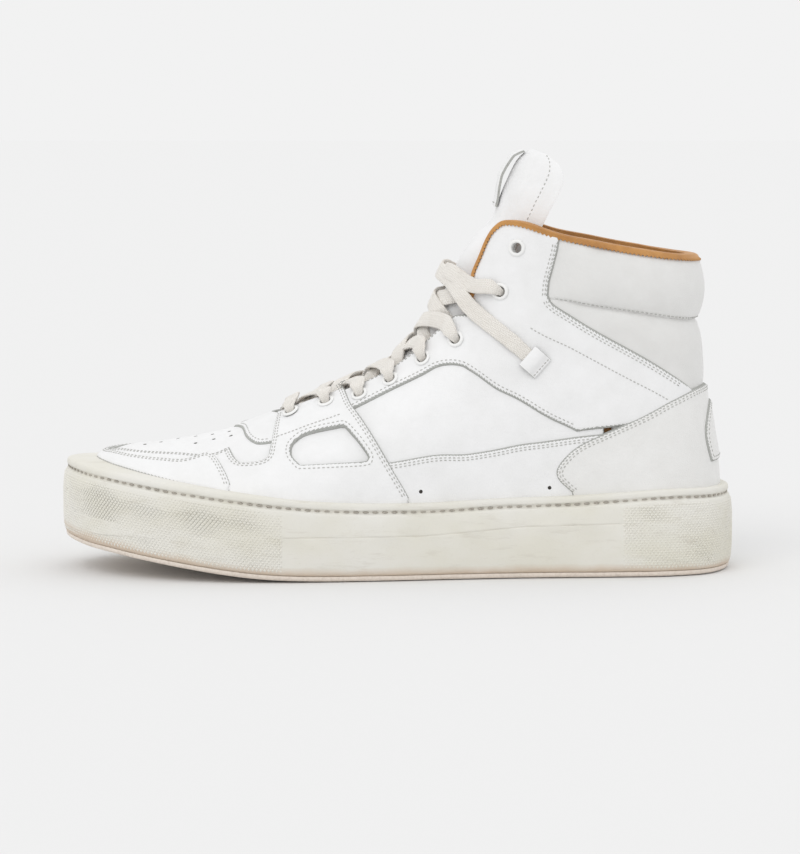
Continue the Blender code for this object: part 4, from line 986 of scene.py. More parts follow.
def both_pieces(name, ring, low, high, nodes, materials=LEATHER, holes=(), cut_holes=(), **options):
    """The piece on the outer side and its mirror image on the inner side."""
    made = []
    across = np.array([2 * LENGTH, 0])
    for label in ("lateral", "medial"):
        piece = leather_piece(f"{name}_{label}", ring, low, high, materials, holes=holes,
                              cut_holes=cut_holes, **options)
        finish_piece(piece, "shoe", [f"{node}_{label}" for node in nodes])
        made.append(piece)
        ring = across - ring[::-1] * (1, -1)
        holes = [across - hole[::-1] * (1, -1) for hole in holes]
        cut_holes = [across - hole[::-1] * (1, -1) for hole in cut_holes]
    return made


def finish_piece(piece, body, nodes):
    """Puts a piece on its body, in place of CAD nodes, which it hides."""
    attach(piece, body)
    if nodes:
        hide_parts(*nodes)
    return piece


def toe_holes():
    """Rows of vent holes punched in the vamp."""
    spots = [(.945, .819), (.918, .896), (.887, .944), (.85, .928), (.818, .896), (.788, .858),
             (.83, .733), (.805, .766), (.778, .76)]
    return spots + [(2 - g, t) for g, t in spots]


def build_lining():
    """The tan sock inside the shoe."""
    lifted = [(g, min(t + 0.004, 0.999)) for g, t in COLLAR]
    flap = [(g - 0.003, t) for g, t in FLAP_FRONT]
    flap[-1] = lifted[0]
    low = [(g, t - 0.014) for g, t in FACING]
    front = [(0.612, 0.853), (0.66, 0.858), (0.700, 0.862), (RIDGE_START + 0.006, 1.0)]
    inner_fold, outer_fold = over_ridge(FOLD[0])
    corner = (FACING_TOP[0][0], FACING_TOP[0][1] - 0.014)
    top = [
        [(0.0, 0.995)] + lifted[::-1],
        flap[::-1],
        [flap[0], (NOTCH[0], NOTCH[1] - 0.012), corner],
        [corner, low[0]],
        low,
        front,
    ]
    medial_top = [mirrored(run) for run in reversed(top)]
    ring = outline(
        [(2.0, 0.0), (0.0, 0.0)],
        [(0.0, 0.0), (0.0, 0.995)],
        *top,
        outer_fold[::-1],
        inner_fold[::-1],
        *medial_top,
        [(2.0, 0.995), (2.0, 0.0)])
    across = np.array([2 * LENGTH, 0])
    wide = [round_hole(centre, LEATHER_HOLE + 0.5) for centre in EYELETS]
    holes = wide + [across - hole[::-1] * (1, -1) for hole in wide]
    piece = leather_piece("lining_leather", ring, -3.4, -1.9, [TAN_LEATHER, TAN_LEATHER],
                          holes=holes, lattice=4.5)
    finish_piece(piece, "shoe", ["lining"])


def build_base():
    """Vamp, side panels and ankle panel, the pieces that lie lowest."""
    inner_fold, outer_fold = over_ridge(FOLD[0])
    holes = [round_hole(spot, 0.85, 10) for spot in toe_holes()]
    piece = leather_piece("vamp_leather", outline(
        [(0.688, 0.0), (1.312, 0.0)],
        [(1.312, 0.0), (1.312, 0.80), (2 - FOLD[0][0], 1.0)],
        inner_fold, outer_fold,
        [FOLD[0], (0.688, 0.80), (0.688, 0.0)]), -0.2, BASE_TOP, LEATHER, holes=holes)
    finish_piece(piece, "shoe", ["vamp"])
    both_pieces("side_leather", outline(
        [(0.678, 0.0), (0.195, 0.0)],
        [(0.195, 0.0), (0.195, 0.42)],
        [(0.195, 0.42), (0.25, 0.44), (0.31, 0.51), (0.40, 0.63), (0.45, 0.71), (0.50, 0.72),
         (0.58, 0.70), (0.678, 0.66)],
        [(0.678, 0.66), (0.678, 0.0)]), 0.0, BASE_TOP, ["side_panel"])
    piece = leather_piece("ankle_leather", outline(
        [(0.185, 0.0), (-0.185, 0.0)],
        [(-0.185, 0.0), (-0.185, 0.45)],
        [(-0.185, 0.45), (-0.22, 0.655), (-0.278, 0.735)],
        [(-0.278, 0.735), (-0.282, 0.800)],
        [(-0.282, 0.800), (-0.2, 0.802), (-0.1, 0.806), (0.0, 0.807), (0.1, 0.806), (0.2, 0.802),
         (0.282, 0.800)],
        [(0.282, 0.800), (0.278, 0.735)],
        [(0.278, 0.735), (0.22, 0.655), (0.185, 0.45)],
        [(0.185, 0.45), (0.185, 0.0)]), -0.6, ankle_top, [ANKLE_SHADED_LEATHER, ANKLE_SHADED_LEATHER],
        bevel=2.4, edge_share=0.1)
    finish_piece(piece, "shoe", ["ankle_panel"])


def build_throat():
    """The curved piece at the foot of the lacing, in two halves that meet on the ridge."""
    ring, spans = spans_of(
        [(1.312, 0.83), (1.312, 0.555)],
        [(1.312, 0.555)] + [(2 - g, t) for g, t in THROAT[3::-1]] + [(2 - 0.79, 1.0)],
        [(2 - 0.79, 1.0), (2 - 0.765, 1.0), (2 - FOLD[0][0], 1.0)],
        [(2 - FOLD[0][0], 1.0), (1.312, 0.83)])
    outer = np.array([2 * LENGTH, 0]) - ring[::-1] * (1, -1)
    points, faces, kinds = [], [], []
    for half in (outer, ring):
        more, solid, kind = leather_parts(half, UNDER, THROAT_TOP, bevel=1.3)
        start = len(points)
        points += list(more)
        faces += [tuple(k + start for k in face) for face in solid]
        kinds += kind
    finish_piece(mesh_object("throat_leather", points, faces, LEATHER, kinds), "shoe",
                 ["throat_overlay"])
    line = inset(unflatten(ring), 2.3)[spans[1][0] + 3:spans[1][1] - 2]
    SEAMS.row(line, THROAT_TOP)


def build_sides():
    """The overlays on each side: lower panel, eyestay quarter and front quarter."""
    lower = [(0.612, LOWER_TOP[0][1])] + LOWER_TOP[1:-1] + [(0.178, 0.362)]
    ring, spans = spans_of(
        lower,
        [(0.178, 0.362), (0.225, 0.27), (0.242, 0.20), (0.225, above_cup(0.225, -1.0))],
        [(g, t - 0.01) for g, t in cup_line(0.225, 0.612)],
        [(0.612, above_cup(0.612) - 0.01), lower[0]])
    both_pieces("lower_side_leather", ring, UNDER, OVERLAY_TOP, ["lower_side_panel"],
                holes=[round_hole(vent, 0.85, 12) for vent in VENTS])
    SEAMS.along(ring, spans[0], DOUBLE_ROW, OVERLAY_TOP, trim=(4, 4))
    ring, spans = spans_of(
        FACING[::-1],
        [FACING_TOP[1], FACING_TOP[0]],
        [FACING_TOP[0], NOTCH],
        [NOTCH, FLAP_FRONT[0]],
        FLAP_FRONT,
        COLLAR[:3] + [COLLAR_FRONT[0]],
        COLLAR_FRONT,
        ANKLE_EDGE + [(0.055, 0.535)],
        [(0.055, 0.535), (0.09, 0.47), (0.13, 0.41), (0.182, 0.383)],
        [(0.182, 0.383), (0.205, 0.374), (0.232, 0.362)],
        [(0.232, 0.362)] + WINDOW_TOP[::-1][1:] + [(0.612, 0.64)],
        [(0.612, 0.64), FACING[-1]])
    both_pieces("eyestay_leather", ring, UNDER, OVERLAY_TOP, ["eyestay_quarter"],
                holes=EYELET_HOLES[2:], bevel=1.2)
    SEAMS.along(ring, spans[6], (1.5, 2.6), OVERLAY_TOP, trim=(2, 0))
    SEAMS.along(ring, spans[7], (1.8, 2.9), OVERLAY_TOP, trim=(1, 6))
    SEAMS.along(ring, spans[10], (2.1,), OVERLAY_TOP, trim=(2, 4))
    SEAMS.along(ring, spans[0], (1.5,), OVERLAY_TOP, trim=(6, 1))
    SEAMS.row(path_of([(.301, .70), (.198, .605), (.106, .497)]), OVERLAY_TOP, pitch=1.8)
    toe_edge = (0.992, 0.58)
    ring, spans = spans_of(
        FACING_FRONT[::-1] + [(QUARTER_REAR[0][0], 0.864)],
        [(QUARTER_REAR[0][0], 0.864)] + QUARTER_REAR,
        [(g, t - 0.012) for g, t in cup_line(QUARTER_REAR[-1][0], 0.885, 13)],
        [(0.885, above_cup(0.885)), (0.94, 0.38), (0.992, 0.42)],
        [(0.992, 0.42), toe_edge],
        [toe_edge] + WING_TOP[::-1],
        QUARTER_FRONT[::-1] + [FACING_FRONT[-1]])
    window = outline(D_WINDOW + [D_WINDOW[0]])
    both_pieces("front_quarter_leather", ring, UNDER, quarter_top, ["front_quarter"],
                holes=EYELET_HOLES[:2], cut_holes=[window], bevel=0.9)
    SEAMS.along(ring, spans[1], DOUBLE_ROW, quarter_top, trim=(2, 1))
    SEAMS.along(ring, spans[5], (1.2, 2.2), quarter_top)
    SEAMS.along(ring, spans[6], (1.5, 2.6), quarter_top, trim=(0, 2))
    SEAMS.row(path_of([(.693, .578), (.644, .609), (.605, .630)]), quarter_top, pitch=1.8)
    round_window = inset(unflatten(window), -2.1)
    SEAMS.row(np.concatenate([round_window, round_window[:1]]), quarter_top)


def build_guards():
    """The pieces that wrap the toe and the heel."""
    inner = [(2 - g, t) for g, t in GUARD_REAR]
    start = GUARD_REAR[-1][0]
    low_edge = [(g, t - 0.012) for g, t in cup_line(start, 2 - start, 19)]
    ring, spans = spans_of(
        low_edge, inner[::-1],
        [(2 - g, t) for g, t in GUARD_TOP[::-1]] + [(1.0, 0.52)] + GUARD_TOP,
        GUARD_REAR)
    piece = leather_piece("toe_guard_leather", ring, UNDER, guard_top, LEATHER)
    finish_piece(piece, "shoe", ["toe_mudguard"])
    for span in spans[1:]:
        SEAMS.along(ring, span, DOUBLE_ROW, guard_top, both=False)
    start = COUNTER_FRONT[0][0]
    ring, spans = spans_of(
        [(g, t - 0.012) for g, t in cup_line(start, -start, 17)],
        [(-g, t) for g, t in COUNTER_FRONT],
        [(-g, t) for g, t in COUNTER_TOP] + [(0.0, 0.556)] + COUNTER_TOP[::-1],
        COUNTER_FRONT[::-1])
    piece = leather_piece("heel_counter_leather", ring, UNDER, COUNTER_TOP_HEIGHT,
                          [COUNTER_SHADED_LEATHER, CUT_EDGE_AND_SHADE], bevel=1.1)
    finish_piece(piece, "shoe", ["heel_counter_cover"])
    for span in spans[1:]:
        SEAMS.along(ring, span, DOUBLE_ROW, COUNTER_TOP_HEIGHT, both=False)
    ring, spans = spans_of(
        [(0.045, 0.23), (-0.045, 0.23)],
        [(-0.045, 0.23), (-0.05, 0.36), (-0.028, 0.46), (0.0, 0.49), (0.028, 0.46), (0.05, 0.36),
         (0.045, 0.23)])
    piece = leather_piece("heel_patch_leather", ring, 3.1, PATCH_TOP, [COUNTER_SHADED_LEATHER, CUT_EDGE_AND_SHADE])
    finish_piece(piece, "shoe", ["heel_patch"])
    SEAMS.along(ring, (0, len(ring)), (1.9,), PATCH_TOP, both=False)


def build_collar():
    """The foam-filled collar round the ankle."""
    front = [(0.283, 0.80), (0.281, 0.86), (0.275, 0.93), (0.268, 0.975)]
    top = [COLLAR[3], COLLAR[4], COLLAR[5], COLLAR[6]]
    ring, spans = spans_of(
        [(0.283, 0.79), (0.2, 0.789), (0.1, 0.792), (0.0, 0.793), (-0.1, 0.792), (-0.2, 0.789),
         (-0.283, 0.79)],
        [(-g, t) for g, t in front],
        [(-0.268, 0.975)] + [(-g, t) for g, t in top] + [HEEL_TOP] + top[::-1] + [(0.268, 0.975)],
        front[::-1])
    piece = leather_piece("collar_leather", ring, -1.0, collar_top, [ANKLE_SHADED_LEATHER] * 2,
                          bevel=1.0, lattice=3.0)
    finish_piece(piece, "shoe", ["collar_pad"])
    line = inset(unflatten(ring), 1.0)[spans[0][0] + 4:spans[0][1] - 4]
    SEAMS.row(line, 2.2, both=False)


def rim_frame(gt):
    """Points, outward normals and the direction into the leather, along the top line."""
    g, t = gt[:, 0], gt[:, 1]
    spots, normals = shell(g, t), shell_normal(g, t)
    ahead = np.gradient(spots, axis=0)
    ahead = ahead / np.linalg.norm(ahead, axis=1, keepdims=True)
    inward = np.cross(ahead, normals)
    return spots, normals, inward


def build_rim():
    """Tan leather folded over the top line, its pinked edge lying on the white leather."""
    outer = FLAP_FRONT + COLLAR[1:] + [HEEL_TOP]
    half = evenly(np.array(unflatten(np.array(smooth(outer)))), 0.9)
    gt = np.concatenate([half, (half * (-1, 1))[::-1][1:]])
    spots, normals, inward = rim_frame(gt)
    if inward[len(inward) // 2][2] > 0:
        inward = -inward
    folded = folded_of(gt[:, 0])
    over = np.interp(folded, [0.20, 0.262, 0.29], [1.9, 2.2, 2.9])
    reach = np.interp(folded, [0.20, 0.30, 0.36], [1.5, 1.4, 1.2])
    tooth = reach + np.where(np.arange(len(gt)) % 2 == 0, 0.35, -0.45)
    lift = relief(spots)
    fall = np.interp(folded, [0.0, 0.20, 0.25], [1.5, 1.7, 0.0])
    section = [(tooth, over + fall), (0.4, over + 0.4 * fall), (-0.5, over), (-1.0, over - 0.7),
               (-1.05, -2.2), (-0.6, -3.6), (5.0, -3.7), (5.0, -3.3), (-0.1, -2.6),
               (-0.1, over - 0.5), (tooth, over + fall - 0.5)]
    rows = []
    for down, height in section:
        rise = np.broadcast_to(height + lift, len(gt))
        drop = np.broadcast_to(down, len(gt))
        rows.append(spots + normals * rise[:, None] + inward * drop[:, None])
    points = np.stack(rows, 1).reshape(-1, 3)
    size = len(section)
    faces = []
    for k in range(len(gt) - 1):
        for j in range(size):
            n = (j + 1) % size
            faces.append((k * size + j, k * size + n, (k + 1) * size + n, (k + 1) * size + j))
    faces.append(tuple(range(size)))
    faces.append(tuple(range((len(gt) - 1) * size, len(gt) * size))[::-1])
    piece = mesh_object("pinked_rim", points, faces, [TAN_LEATHER], sharp=35.0)
    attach(piece, "shoe")


def build_vents():
    """Small near-black cups behind the vent holes low on each side: painted shade, standing in for the
    shadow inside the holes.
    """
    dark = Nodes("vent_painted_shade", (0.035, 0.03, 0.025), 0.8)
    dark.finish(None, dark.span(dark.noise(900.0), 0.3, 0.7, 0.7, 0.9))
    points, faces = [], []
    for g, t in VENTS:
        for where in (g, 2 - g):
            along, _ = tangents(where, t)
            along = along / np.linalg.norm(along)
            normal = shell_normal(where, t)
            cross = np.cross(normal, along)
            for height in (1.0, 2.1):
                middle = laid(np.array(where), np.array(t), height)
                for k in range(10):
                    turn = 2 * math.pi * k / 10
                    points.append(middle + (along * math.cos(turn) + cross * math.sin(turn)) * 0.83)
            base = len(points) - 20
            faces.append(tuple(range(base, base + 10))[::-1])
            faces.append(tuple(range(base + 10, base + 20)))
            for k in range(10):
                n = (k + 1) % 10
                faces.append((base + k, base + n, base + 10 + n, base + 10 + k))
    piece = mesh_object("vent_shade_cups", points, faces, [dark.material], merge=0)
    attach(piece, "shoe")


build_lining()
build_base()
build_throat()
build_sides()
build_guards()
build_collar()
build_rim()
build_vents()


# ---------------------------------------------------------------- sole
AROUND = 420           # points round each ring of the sole
SOLE_GIRTH = 760.0     # length round the cup, for spacing what repeats
WAVY_RINGS = 20        # the rings of the outer wall, which is never quite even
SOLE_BASE = 2.55       # height of the cup over the ground
STITCH_PITCH = 4.6
TOE_END, HEEL_END = -50.6, 98.5


def level_g(count):
    """g at points evenly spaced round the sole."""
    g = np.linspace(0, 2, 1601)
    value, slope = station_at(g[:-1])
    nx, ny = plan_normal(slope)
    ring = np.stack([value[:, 0] + nx * value[:, 12], value[:, 3] + ny * value[:, 12]], -1)
    steps = np.linalg.norm(np.roll(ring, -1, axis=0) - ring, axis=1)
    far = np.concatenate([[0], np.cumsum(steps)])
    return np.interp(np.arange(count) * far[-1] / count, far, g)


def ring_points(out, height, g):
    """A ring round the sole: out from the lasting line, at a height."""
    value, slope = station_at(g)
    nx, ny = plan_normal(slope)
    reach = out(value) if callable(out) else out
    return np.stack([value[:, 0] + nx * reach, value[:, 3] + ny * reach, height(value) + 0 * nx], -1)


def toe_spring(x):
    """Height of the underside: flat under heel and arch, lifting towards the toe."""
    u = -35.0 - x - 25.0
    return np.maximum(0.0, 0.18 * (u + np.sqrt(u * u + 400.0)) / 2 - 0.46)


def ledge(extra):
    """Out from the lasting line, as far as the cup's wall and a little more."""
    return lambda value: value[:, 12] + extra


def under(extra):
    """A height over the underside."""
    return lambda value: toe_spring(value[:, 0]) + extra


def cup(extra):
    """A height over the cup's top edge."""
    return lambda value: value[:, 13] + extra


def lasting(extra):
    """A height over the lasting line."""
    return lambda value: value[:, 1] + extra


def wall_share(share):
    """A height part way up the wall."""
    return lambda value: ((1 - share) * (toe_spring(value[:, 0]) + 2.5) + share * value[:, 13])


def wall_line(value):
    """Height of the shallow line along the middle of the wall."""
    return np.interp(value[:, 0], [-50, 10, 36, 55, 97], [19.7, 19.7, 21.5, 23.0, 23.9])


def wall_line_depth(value):
    """How deep that line is: it stops where the diamonds start."""
    return np.clip((value[:, 0] - TOE_END) / 2, 0, 1) * np.clip((HEEL_END - value[:, 0]) / 2, 0, 1)


def lofted(name, rings, materials, sharp=40.0, split=None):
    """A closed loft through rings with a cap on the first and the last."""
    count = len(rings[0])
    points = np.concatenate(rings)
    faces, kinds = [], []
    for start, flip in ((0, False), (count * (len(rings) - 1), True)):
        for k in range(count // 2):
            quad = [start + k, start + k + 1, start + (count - k - 1) % count,
                    start + (count - k) % count]
            quad = list(dict.fromkeys(quad))
            faces.append(quad[::-1] if flip else quad)
            kinds.append(0)
    for level in range(len(rings) - 1):
        for k in range(count):
            a, b = level * count + k, level * count + (k + 1) % count
            faces.append([a, b, b + count, a + count])
            kinds.append(int(split is not None and level >= split))
    return mesh_object(name, points, faces, materials, kinds, sharp=sharp, merge=0)


def paint(piece, name, values):
    """A number on each vertex, for the piece's material."""
    layer = piece.data.attributes.new(name, "FLOAT", "POINT")
    layer.data.foreach_set("value", np.asarray(values, np.float32))


def build_cup():
    """The rubber cup with its stitched groove."""
    g = level_g(AROUND)
    line = [ring_points(lambda v, d=depth: v[:, 12] + 0.05 - d * wall_line_depth(v),
                        lambda v, r=rise: wall_line(v) + r, g)
            for depth, rise in ((0.0, -0.8), (0.0, -0.35), (0.22, 0.0), (0.0, 0.35), (0.0, 0.8))]
    low = [ring_points(ledge(out), height, g) for out, height in (
        (-1.6, under(SOLE_BASE)), (-0.9, under(SOLE_BASE + 0.15)), (-0.5, under(SOLE_BASE + 0.9)),
        (-0.3, under(SOLE_BASE + 2.2)), (0.0, wall_share(0.22)), (0.05, wall_share(0.36)))]
    top = [ring_points(ledge(out), cup(drop), g) for out, drop in (
        (-0.45, -8.0), (-0.75, -5.6), (-0.95, -5.0), (-1.35, -4.65), (-2.1, -4.45), (-2.25, -4.1),
        (-2.25, -3.3), (-2.1, -3.0), (-1.65, -2.8), (-1.45, -2.3), (-1.5, -1.2), (-1.75, -0.5),
        (-2.2, -0.15), (-2.9, 0.0))]
    mouth = np.array([above_cup(k, 0.0) for k in g])
    inner = [laid(g, mouth, 0.5), laid(g, mouth * 0.55, -0.3),
        ring_points(1.9, under(SOLE_BASE + 6.0), g)]
    rings = low + line + top + inner
    wave = g * math.pi
    _, slope = station_at(g)
    nx, ny = plan_normal(slope)
    for level, ring in enumerate(rings[1:WAVY_RINGS]):
        soft = 0.10 * np.sin(13 * wave + 0.5 * level) + 0.07 * np.sin(31 * wave - 0.9 * level)
        ring[:, 0] += nx * soft
        ring[:, 1] += ny * soft
    piece = lofted("cup_rubber", rings, [CUP_RUBBER], sharp=60.0)
    heights = [np.clip((ring[:, 2] - toe_spring(ring[:, 0]) - 2.5) / 25, 0, 1) for ring in rings]
    paint(piece, "level", np.concatenate(heights))
    # Painted shade in the recesses: the seam numbers darken the groove's deepest rings and the wall
    # line's middle ring.
    seam = [np.zeros(AROUND) for _ in rings]
    seam[len(low) + 2] = 0.45 * wall_line_depth(station_at(g)[0])
    for number in (5, 6):
        seam[len(low) + len(line) + number] = np.full(AROUND, 0.7)
    paint(piece, "seam", np.concatenate(seam))
    finish_piece(piece, "shoe", ["cupsole"])


def sole_spot(g, height):
    """A point of the cup's wall, its outward direction and the direction along the wall."""
    value, slope = station_at(g)
    nx, ny = plan_normal(slope)
    size = np.hypot(slope[:, 0], slope[:, 3])
    drop = value[:, 13] - height
    share = (height - toe_spring(value[:, 0]) - 2.5) / (value[:, 13] - toe_spring(value[:, 0]) - 2.5)
    out = np.where(share > 0.5, np.interp(drop, [5.0, 5.6, 8.0, 13.0], [-0.95, -0.75, -0.45, 0.05]),
                   np.interp(share, [0.04, 0.09, 0.22, 0.36], [-0.6, -0.3, 0.0, 0.05]))
    out = out + value[:, 12]
    spot = np.stack([value[:, 0] + nx * out, value[:, 3] + ny * out, height], -1)
    along = np.stack([slope[:, 0] / size, slope[:, 3] / size, 0 * nx], -1)
    return spot, np.stack([nx, ny, 0 * nx], -1), along


def build_diamonds():
    """Small raised diamonds that cover the wall round the toe and the heel."""
    pitch = 1.9
    around = round(SOLE_GIRTH / pitch)
    base_g = level_g(around)
    points, faces = [], []
    for row in range(40):
        g = base_g + (row % 2) * (np.roll(base_g, -1) % 2.0001 - base_g).clip(0, 0.01) / 2
        value = station_at(g)[0]
        height = toe_spring(value[:, 0]) + 4.6 + row * pitch * 0.58
        keep = ((value[:, 0] < TOE_END) | (value[:, 0] > HEEL_END)) & (height < value[:, 13] - 6.2)
        spot, normal, along = sole_spot(g[keep], height[keep])
        for s, n, a in zip(spot, normal, along):
            start = len(points)
            half, tall = pitch * 0.47, pitch * 0.52
            up = np.array([0.0, 0.0, 1.0])
            points.extend([s + a * half - n * 0.15, s + up * tall - n * 0.15,
                           s - a * half - n * 0.15, s - up * tall - n * 0.15, s + n * 0.5])
            faces.extend([(start, start + 1, start + 4), (start + 1, start + 2, start + 4),
                          (start + 2, start + 3, start + 4), (start + 3, start, start + 4),
                          (start + 3, start + 2, start + 1, start)])
    piece = mesh_object("cup_diamonds", points, faces, [DIAMOND_RUBBER], sharp=30.0, merge=0)
    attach(piece, "shoe")


def build_sole_stitching():
    """The long stitches in the groove that hold the cup to the upper."""
    seams = Seams(2.9, 0.75, 0.45)
    count = round(SOLE_GIRTH / STITCH_PITCH)
    g = level_g(count)
    value, slope = station_at(g)
    nx, ny = plan_normal(slope)
    size = np.hypot(slope[:, 0], slope[:, 3])
    for k in range(count):
        out = value[k, 12] - 2.15
        spot = np.array([value[k, 0] + nx[k] * out, value[k, 3] + ny[k] * out, value[k, 13] - 3.7])
        along = np.array([slope[k, 0] / size[k], slope[k, 3] / size[k], 0])
        if k:
            rise = (value[k, 13] - value[k - 1, 13]) / STITCH_PITCH
            along = along + (0, 0, np.clip(rise, -0.4, 0.4))
        seams.stitch(spot, along / np.linalg.norm(along), np.array([nx[k], ny[k], 0]))
    piece = seams.piece("cup_stitching", SOLE_THREAD)
    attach(piece, "shoe")


def build_outsole():
    """The thin outsole, whose edge shows under the cup."""
    g = level_g(AROUND)
    rings = [ring_points(ledge(out), under(height), g) for out, height in (
        (-4.4, 0.0), (-2.6, 0.1), (-1.6, 0.4), (-1.1, 0.9), (-0.9, 1.6), (-0.95, 2.3),
        (-1.4, 2.5))]
    finish_piece(lofted("outsole_rubber", rings, [OUTSOLE_RUBBER]), "shoe", ["outsole"])


def build_footbed():
    """The insole, dished and rounded at its edge."""
    g = level_g(200)
    edge = [(-5.2, 1.2, 2.3), (-4.8, 1.4, 3.2), (-4.8, 1.6, 4.6), (-5.1, 1.7, 5.4), (-5.7, 1.8, 6.0),
            (-6.8, 2.0, 6.3), (-9.0, 2.0, 6.1), (-13.0, 2.0, 5.6), (-18.0, 2.0, 5.3)]
    rings = [ring_points(lambda v, o=out, s=shape: o - s * (v[:, 12] - 7.8), lasting(height), g)
             for out, shape, height in edge]
    finish_piece(lofted("footbed_leather", rings, [FOOTBED_LEATHER]), "shoe", ["footbed"])


build_cup()
build_diamonds()
build_sole_stitching()
build_outsole()
build_footbed()


# ---------------------------------------------------------------- eyelets and keepers
KEEPER = side(59.6, 95.2)
KEEPER_LENGTH = 11.0


def place(g, t):
    """Middle, outward normal and two level directions at a point of the shell."""
    at = shell(g, t)
    normal = shell_normal(np.array(g), np.array(t))
    along = shell(g + 1e-3, t) - shell(g - 1e-3, t)
    along = along / np.linalg.norm(along)
    across = np.cross(normal, along)
    return at, normal, along, across / np.linalg.norm(across)


def eyelet_height(index):
    """How far out the leather round an eyelet is."""
    return 3.4 if index < 2 else OVERLAY_TOP


def build_eyelets():
    """White enamelled eyelets, rolled over the leather and open through the middle."""
    turns = 36
    for index, (g, t) in enumerate(EYELETS):
        top = eyelet_height(index)
        profile = [
            (2.25, -4.6), (2.55, -4.6), (2.6, top - 0.3), (3.3, top - 0.15), (3.75, top + 0.05),
            (3.85, top + 0.3), (3.7, top + 0.55), (3.3, top + 0.78), (2.9, top + 0.85),
            (2.55, top + 0.75), (2.35, top + 0.5), (2.25, top + 0.1)]
        for label, where in (("lateral", g), ("medial", 2 - g)):
            at, normal, along, across = place(where, t)
            lift = float(relief(at))
            size = len(profile)
            points, faces = [], []
            for k in range(turns):
                turn = 2 * math.pi * k / turns
                spoke = along * math.cos(turn) + across * math.sin(turn)
                points += [at + spoke * r + normal * (h + lift) for r, h in profile]
                here, after = k * size, ((k + 1) % turns) * size
                for j in range(size):
                    n = (j + 1) % size
                    faces.append((here + j, after + j, after + n, here + n))
            name = f"eyelet_{label}_{index + 1}"
            piece = mesh_object(name + "_ring", points, faces, [ENAMEL], merge=0)
            finish_piece(piece, "shoe", [name])


def keeper_axes(where):
    """Frame of a lace keeper: middle, normal, slot direction and depth direction."""
    at, normal, _, _ = place(where, KEEPER[1])
    slot = np.array([0.66, 0.0, 0.75])
    slot = slot - normal * (slot @ normal)
    slot = slot / np.linalg.norm(slot)
    depth = np.cross(slot, normal)
    if depth[0] < 0:
        depth = -depth
    return at, normal, slot, depth


def build_keepers():
    """A folded leather tab over each lace end, sewn down behind and open in front."""
    for label, where in (("lateral", KEEPER[0]), ("medial", 2 - KEEPER[0])):
        at, normal, slot, depth = keeper_axes(where)
        roof = [(-3.6, 4.3), (-2.4, 4.75), (-0.5, 5.1), (1.2, 5.1), (2.4, 4.6), (3.3, 3.7),
                (4.3, 3.3), (5.5, 3.2)]
        under_side = [(5.5, 2.5), (4.2, 2.5), (3.0, 2.7), (2.2, 3.5), (1.1, 4.05), (-0.5, 4.1),
                      (-2.4, 3.8), (-3.6, 3.5)]
        section = roof + under_side
        stations = np.array([-1, -0.97, -0.9, -0.6, -0.3, 0, 0.3, 0.6, 0.9, 0.97, 1])
        shrink = np.interp(np.abs(stations), [0.9, 0.97, 1.0], [0.0, 0.10, 0.32])
        points, faces, kinds = [], [], []
        size = len(section)
        for share, less in zip(stations, shrink):
            for k, (d, h) in enumerate(section):
                low = 2.9 + (h - 2.9) * 0.6
                fall = h + (low - h) * less * 0.6 if k < len(roof) else h
                points.append(at + slot * share * KEEPER_LENGTH / 2 + depth * d + normal * fall)
        for row in range(len(stations) - 1):
            for k in range(size):
                n = (k + 1) % size
                faces.append((row * size + k, row * size + n, (row + 1) * size + n,
                              (row + 1) * size + k))
                kinds.append(int(k in (len(roof) - 1, size - 1) or row in (0, len(stations) - 2)))
        faces.append(tuple(range(size)))
        faces.append(tuple(range(size * (len(stations) - 1), size * len(stations)))[::-1])
        kinds += [1, 1]
        name = "lace_keeper_" + label
        piece = mesh_object(name + "_tab", points, faces, LEATHER, kinds, merge=0)
        finish_piece(piece, name, [name])
        seams = Seams(1.4, 0.5, 0.3)
        for share in np.linspace(-0.8, 0.8, 6):
            spot = at + slot * share * KEEPER_LENGTH / 2 + depth * 4.6 + normal * 3.3
            seams.stitch(spot, slot, normal)
        stitches = seams.piece(name + "_stitching", THREAD)
        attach(stitches, name)


# ---------------------------------------------------------------- tongue
TONGUE_LINE = np.array([
    (-65.0, 57.0), (-54.0, 63.6), (-40.0, 71.8), (-21.0, 80.6), (-3.0, 89.8), (9.2, 101.4),
    (17.6, 114.6), (24.2, 130.0), (32.0, 144.4), (41.2, 156.4), (44.6, 163.4), (47.2, 171.0),
    (50.4, 178.2), (54.2, 183.8), (58.6, 187.2), (62.0, 188.4)])
TONGUE_WIDTH = np.array([15, 17, 20, 22, 23, 23.5, 24, 24, 24, 24.5, 25, 25.3, 25.2, 24.3, 20.5, 11.0])
TONGUE_BOW = np.array([.004, .006, .010, .013, .019, .026, .031, .033, .033, .031, .031, .032,
                       .033, .032, .029, .027])
TONGUE_END = 14.6
TAB_UPRIGHT = 11.0       # row above which the sides sweep back level
TONGUE_CLEARANCE = 5.2


def row_blend(table, where):
    """A smooth value of a table at a fractional row."""
    index = np.clip(np.floor(where).astype(int), 0, len(table) - 2)
    f = (where - index)[..., None] if table.ndim > 1 else where - index
    pick = [table[np.clip(index + k, 0, len(table) - 1)] for k in (-1, 0, 1, 2)]
    return 0.5 * (2 * pick[1] + (pick[2] - pick[0]) * f
                  + (2 * pick[0] - 5 * pick[1] + 4 * pick[2] - pick[3]) * f ** 2
                  + (3 * pick[1] - pick[0] - 3 * pick[2] + pick[3]) * f ** 3)


